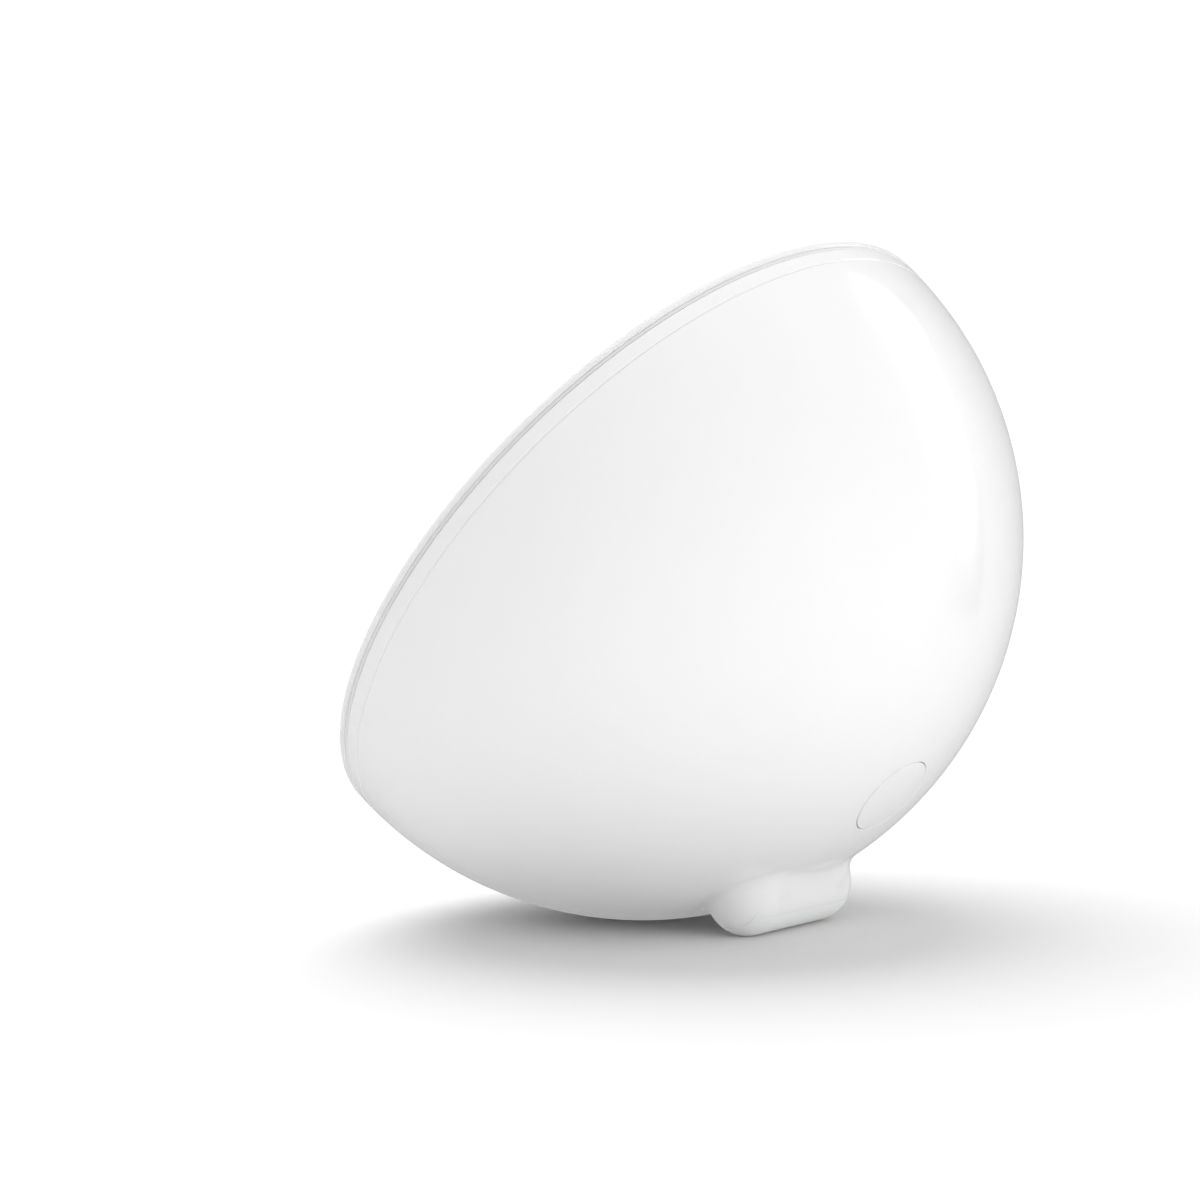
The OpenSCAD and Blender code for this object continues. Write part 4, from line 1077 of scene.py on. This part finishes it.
class BOWLLAMP_OT_stage(bpy.types.Operator):
    """Makes the pale floor, the soft studio light and the camera"""
    bl_idname = "bowl_lamp.stage"
    bl_label = "Stage"

    def execute(self, context):
        stage = context.scene.bowl_lamp_stage
        scene = context.scene
        scene.view_settings.view_transform = "Standard"
        self.floor(stage)
        self.world(scene, stage)
        self.key(stage)
        self.overhead(stage)
        self.softbox(stage)
        self.camera(scene, stage)
        return {"FINISHED"}

    def floor(self, stage):
        """One large sheet under the lamp, its colour painted greyer near the lamp and paler away from it."""
        mesh = bpy.data.meshes.new("floor")
        half = 6.0
        corners = [(-half, -half, 0), (half, -half, 0), (half, half, 0), (-half, half, 0)]
        mesh.from_pydata(corners, [], [(0, 1, 2, 3)])
        sheet = linked_object("floor", mesh)
        material, tree = bare_material("Matt White Paper")
        place = add(tree, "ShaderNodeTexCoord")
        away = add(tree, "ShaderNodeVectorMath", {"operation": "LENGTH"}, {0: place.outputs["Object"]})
        # painted light and shade: the floor's colour is painted greyer near the lamp and paler further out, until
        # it is white where it blends with the surround
        painted_shade_to, painted_light_from = 0.25, 1.2
        # painted shade near the lamp, fading out to painted white light by distance
        painted_paling = add(tree, "ShaderNodeMapRange", {"interpolation_type": "SMOOTHSTEP"},
                    {"Value": away.outputs["Value"], "From Min": painted_shade_to, "From Max": painted_light_from})
        path = add(tree, "ShaderNodeLightPath")
        # the paper throws a little more light back up at the lamp than it shows
        bounce = add(tree, "ShaderNodeMath", {"operation": "MULTIPLY"},
                     {0: path.outputs["Is Diffuse Ray"], 1: stage.bounce})
        lift = add(tree, "ShaderNodeMath", {"operation": "MAXIMUM"},
                   {0: painted_paling.outputs["Result"], 1: bounce.outputs["Value"]})
        tone = add(tree, "ShaderNodeMix", {"data_type": "RGBA"},
                   {"Factor": lift.outputs["Value"], "A": stage.floor[:], "B": (1, 1, 1, 1)})
        matt = add(tree, "ShaderNodeBsdfDiffuse", inputs={"Color": tone.outputs["Result"]})
        add(tree, "ShaderNodeOutputMaterial", inputs={"Surface": matt.outputs["BSDF"]})
        mesh.materials.append(material)
        sheet.visible_glossy = False

    def world(self, scene, stage):
        """A plain white surround, a little brighter at the height of the table."""
        at_table, overhead = 1.08, 0.95
        seen, in_gloss = 1.05, 0.7
        world = bpy.data.worlds.new("studio")
        world.use_nodes = True
        tree = world.node_tree
        tree.nodes.clear()
        place = add(tree, "ShaderNodeTexCoord")
        split = add(tree, "ShaderNodeSeparateXYZ", inputs={"Vector": place.outputs["Generated"]})
        ramp = add(tree, "ShaderNodeMapRange", inputs={"Value": split.outputs["Z"], "From Min": -0.1,
                                                       "From Max": 0.7, "To Min": at_table,
                                                       "To Max": overhead})
        plain = add(tree, "ShaderNodeBackground", inputs={"Strength": seen, "Color": (1, 1, 1, 1)})
        path = add(tree, "ShaderNodeLightPath")
        # dimmer in reflections, so that the bowl's edges stand out a little darker
        dim = add(tree, "ShaderNodeMapRange",
                  inputs={"Value": path.outputs["Is Glossy Ray"], "To Min": stage.ambient,
                          "To Max": stage.ambient * in_gloss})
        soft = add(tree, "ShaderNodeBackground", inputs={"Strength": dim.outputs["Result"],
                                                         "Color": ramp.outputs["Result"]})
        mix = add(tree, "ShaderNodeMixShader", inputs={0: path.outputs["Is Camera Ray"],
                                                       1: soft.outputs["Background"],
                                                       2: plain.outputs["Background"]})
        add(tree, "ShaderNodeOutputWorld", inputs={"Surface": mix.outputs["Shader"]})
        scene.world = world

    def key(self, stage):
        """A wide soft light just above the table, on the button's side of the lamp."""
        light = bpy.data.lights.new("key", "AREA")
        light.shape = "RECTANGLE"
        light.size, light.size_y = 1.0, 0.34
        light.energy = stage.key
        lamp = aimed("key", light, look_from(181 * DEGREE, 5 * DEGREE), 1.3)
        lamp.visible_glossy = False

    def overhead(self, stage):
        """Soft light from above and a little behind, even over the whole floor."""
        light = bpy.data.lights.new("overhead", "SUN")
        light.energy = stage.top
        light.angle = 54 * DEGREE
        sun = aimed("overhead", light, look_from(stage.azimuth + 206 * DEGREE, 67 * DEGREE))
        sun.visible_glossy = False

    def softbox(self, stage):
        """A bent softbox that only reflections show: it follows its stops round the lamp."""
        distance = 1.6
        columns = 13
        last = len(STRIP_STOPS) - 1
        stops = [look_from(azimuth * DEGREE, elevation * DEGREE) for azimuth, elevation, _ in STRIP_STOPS]
        points, faces, glow = [], [], []
        for i, here in enumerate(stops):
            ahead, behind = stops[min(i + 1, last)], stops[max(i - 1, 0)]
            side = here.cross(ahead - behind).normalized()
            u = i / last
            for k in range(columns):
                t = k / (columns - 1)
                angle = STRIP_STOPS[i][2] * DEGREE * (2 * t - 1)
                points.append(CENTRE + distance * (here * math.cos(angle) + side * math.sin(angle)))
                ends = (t, 1 - t, u, 1 - u)
                glow.append(math.prod(min(1, end / fade) for end, fade in zip(ends, STRIP_FADE)))
        for i in range(last):
            for k in range(columns - 1):
                corner = i * columns + k
                faces.append((corner, corner + 1, corner + columns + 1, corner + columns))
        mesh = bpy.data.meshes.new("strip")
        mesh.from_pydata([tuple(p) for p in points], [], faces)
        mesh.attributes.new("glow", "FLOAT", "POINT").data.foreach_set("value", glow)
        box = linked_object("strip", mesh)
        material, tree = bare_material("Softbox Cloth")
        level = add(tree, "ShaderNodeAttribute", {"attribute_name": "glow"})
        softened = add(tree, "ShaderNodeMapRange", {"interpolation_type": "SMOOTHSTEP"},
                       {"Value": level.outputs["Fac"], "From Min": 0.0, "From Max": 1.0,
                        "To Min": 0.0, "To Max": stage.strip})
        cloth = add(tree, "ShaderNodeEmission", inputs={"Strength": softened.outputs["Result"]})
        add(tree, "ShaderNodeOutputMaterial", inputs={"Surface": cloth.outputs["Emission"]})
        mesh.materials.append(material)
        box.visible_camera = False
        box.visible_shadow = False
        box.visible_diffuse = False

    def camera(self, scene, stage):
        """The camera looks a little below and beside the middle of the bowl."""
        aside = Vector((5.9, -6.2, -11.8)) * MM
        lens = bpy.data.cameras.new("camera")
        lens.lens = stage.lens
        lens.sensor_width = 36
        towards = look_from(stage.azimuth, stage.elevation)
        camera = aimed("camera", lens, towards, stage.distance, CENTRE + aside)
        roll = Matrix.Rotation(stage.roll, 3, "Z").to_quaternion()
        camera.rotation_quaternion = camera.rotation_quaternion @ roll
        scene.camera = camera


GROUPS = {
    "bowl_lamp_bowl": BowlSizes,
    "bowl_lamp_panel": PanelSizes,
    "bowl_lamp_foot": FootSizes,
    "bowl_lamp_button": ButtonSizes,
    "bowl_lamp_fittings": FittingSizes,
    "bowl_lamp_stage": StageSettings,
}
OPERATORS = [BOWLLAMP_OT_bowl, BOWLLAMP_OT_pad, BOWLLAMP_OT_panel, BOWLLAMP_OT_button, BOWLLAMP_OT_screws,
             BOWLLAMP_OT_bosses, BOWLLAMP_OT_leds, BOWLLAMP_OT_finishes, BOWLLAMP_OT_stage]


class BOWLLAMP_PT_panel(bpy.types.Panel):
    """Lists the lamp's operators and sizes"""
    bl_idname = "BOWLLAMP_PT_panel"
    bl_label = "Bowl Lamp"
    bl_space_type = "VIEW_3D"
    bl_region_type = "UI"
    bl_category = "Bowl Lamp"

    def draw(self, context):
        for operator in OPERATORS:
            self.layout.operator(operator.bl_idname)
        for name, group in GROUPS.items():
            box = self.layout.box()
            box.label(text=group.__name__)
            for prop in group.__annotations__:
                box.prop(getattr(context.scene, name), prop)


def register():
    for group in GROUPS.values():
        bpy.utils.register_class(group)
    for name, group in GROUPS.items():
        setattr(bpy.types.Scene, name, bpy.props.PointerProperty(type=group))
    for operator in OPERATORS:
        bpy.utils.register_class(operator)
    bpy.utils.register_class(BOWLLAMP_PT_panel)


def unregister():
    bpy.utils.unregister_class(BOWLLAMP_PT_panel)
    for operator in reversed(OPERATORS):
        bpy.utils.unregister_class(operator)
    for name in GROUPS:
        delattr(bpy.types.Scene, name)
    for group in reversed(list(GROUPS.values())):
        bpy.utils.unregister_class(group)


def main():
    register()
    bpy.ops.bowl_lamp.bowl()
    bpy.ops.bowl_lamp.pad()
    bpy.ops.bowl_lamp.panel()
    bpy.ops.bowl_lamp.button()
    bpy.ops.bowl_lamp.screws()
    bpy.ops.bowl_lamp.bosses()
    bpy.ops.bowl_lamp.leds()
    bpy.ops.bowl_lamp.finishes()
    bpy.ops.bowl_lamp.stage()


if __name__ == "__main__":
    main()
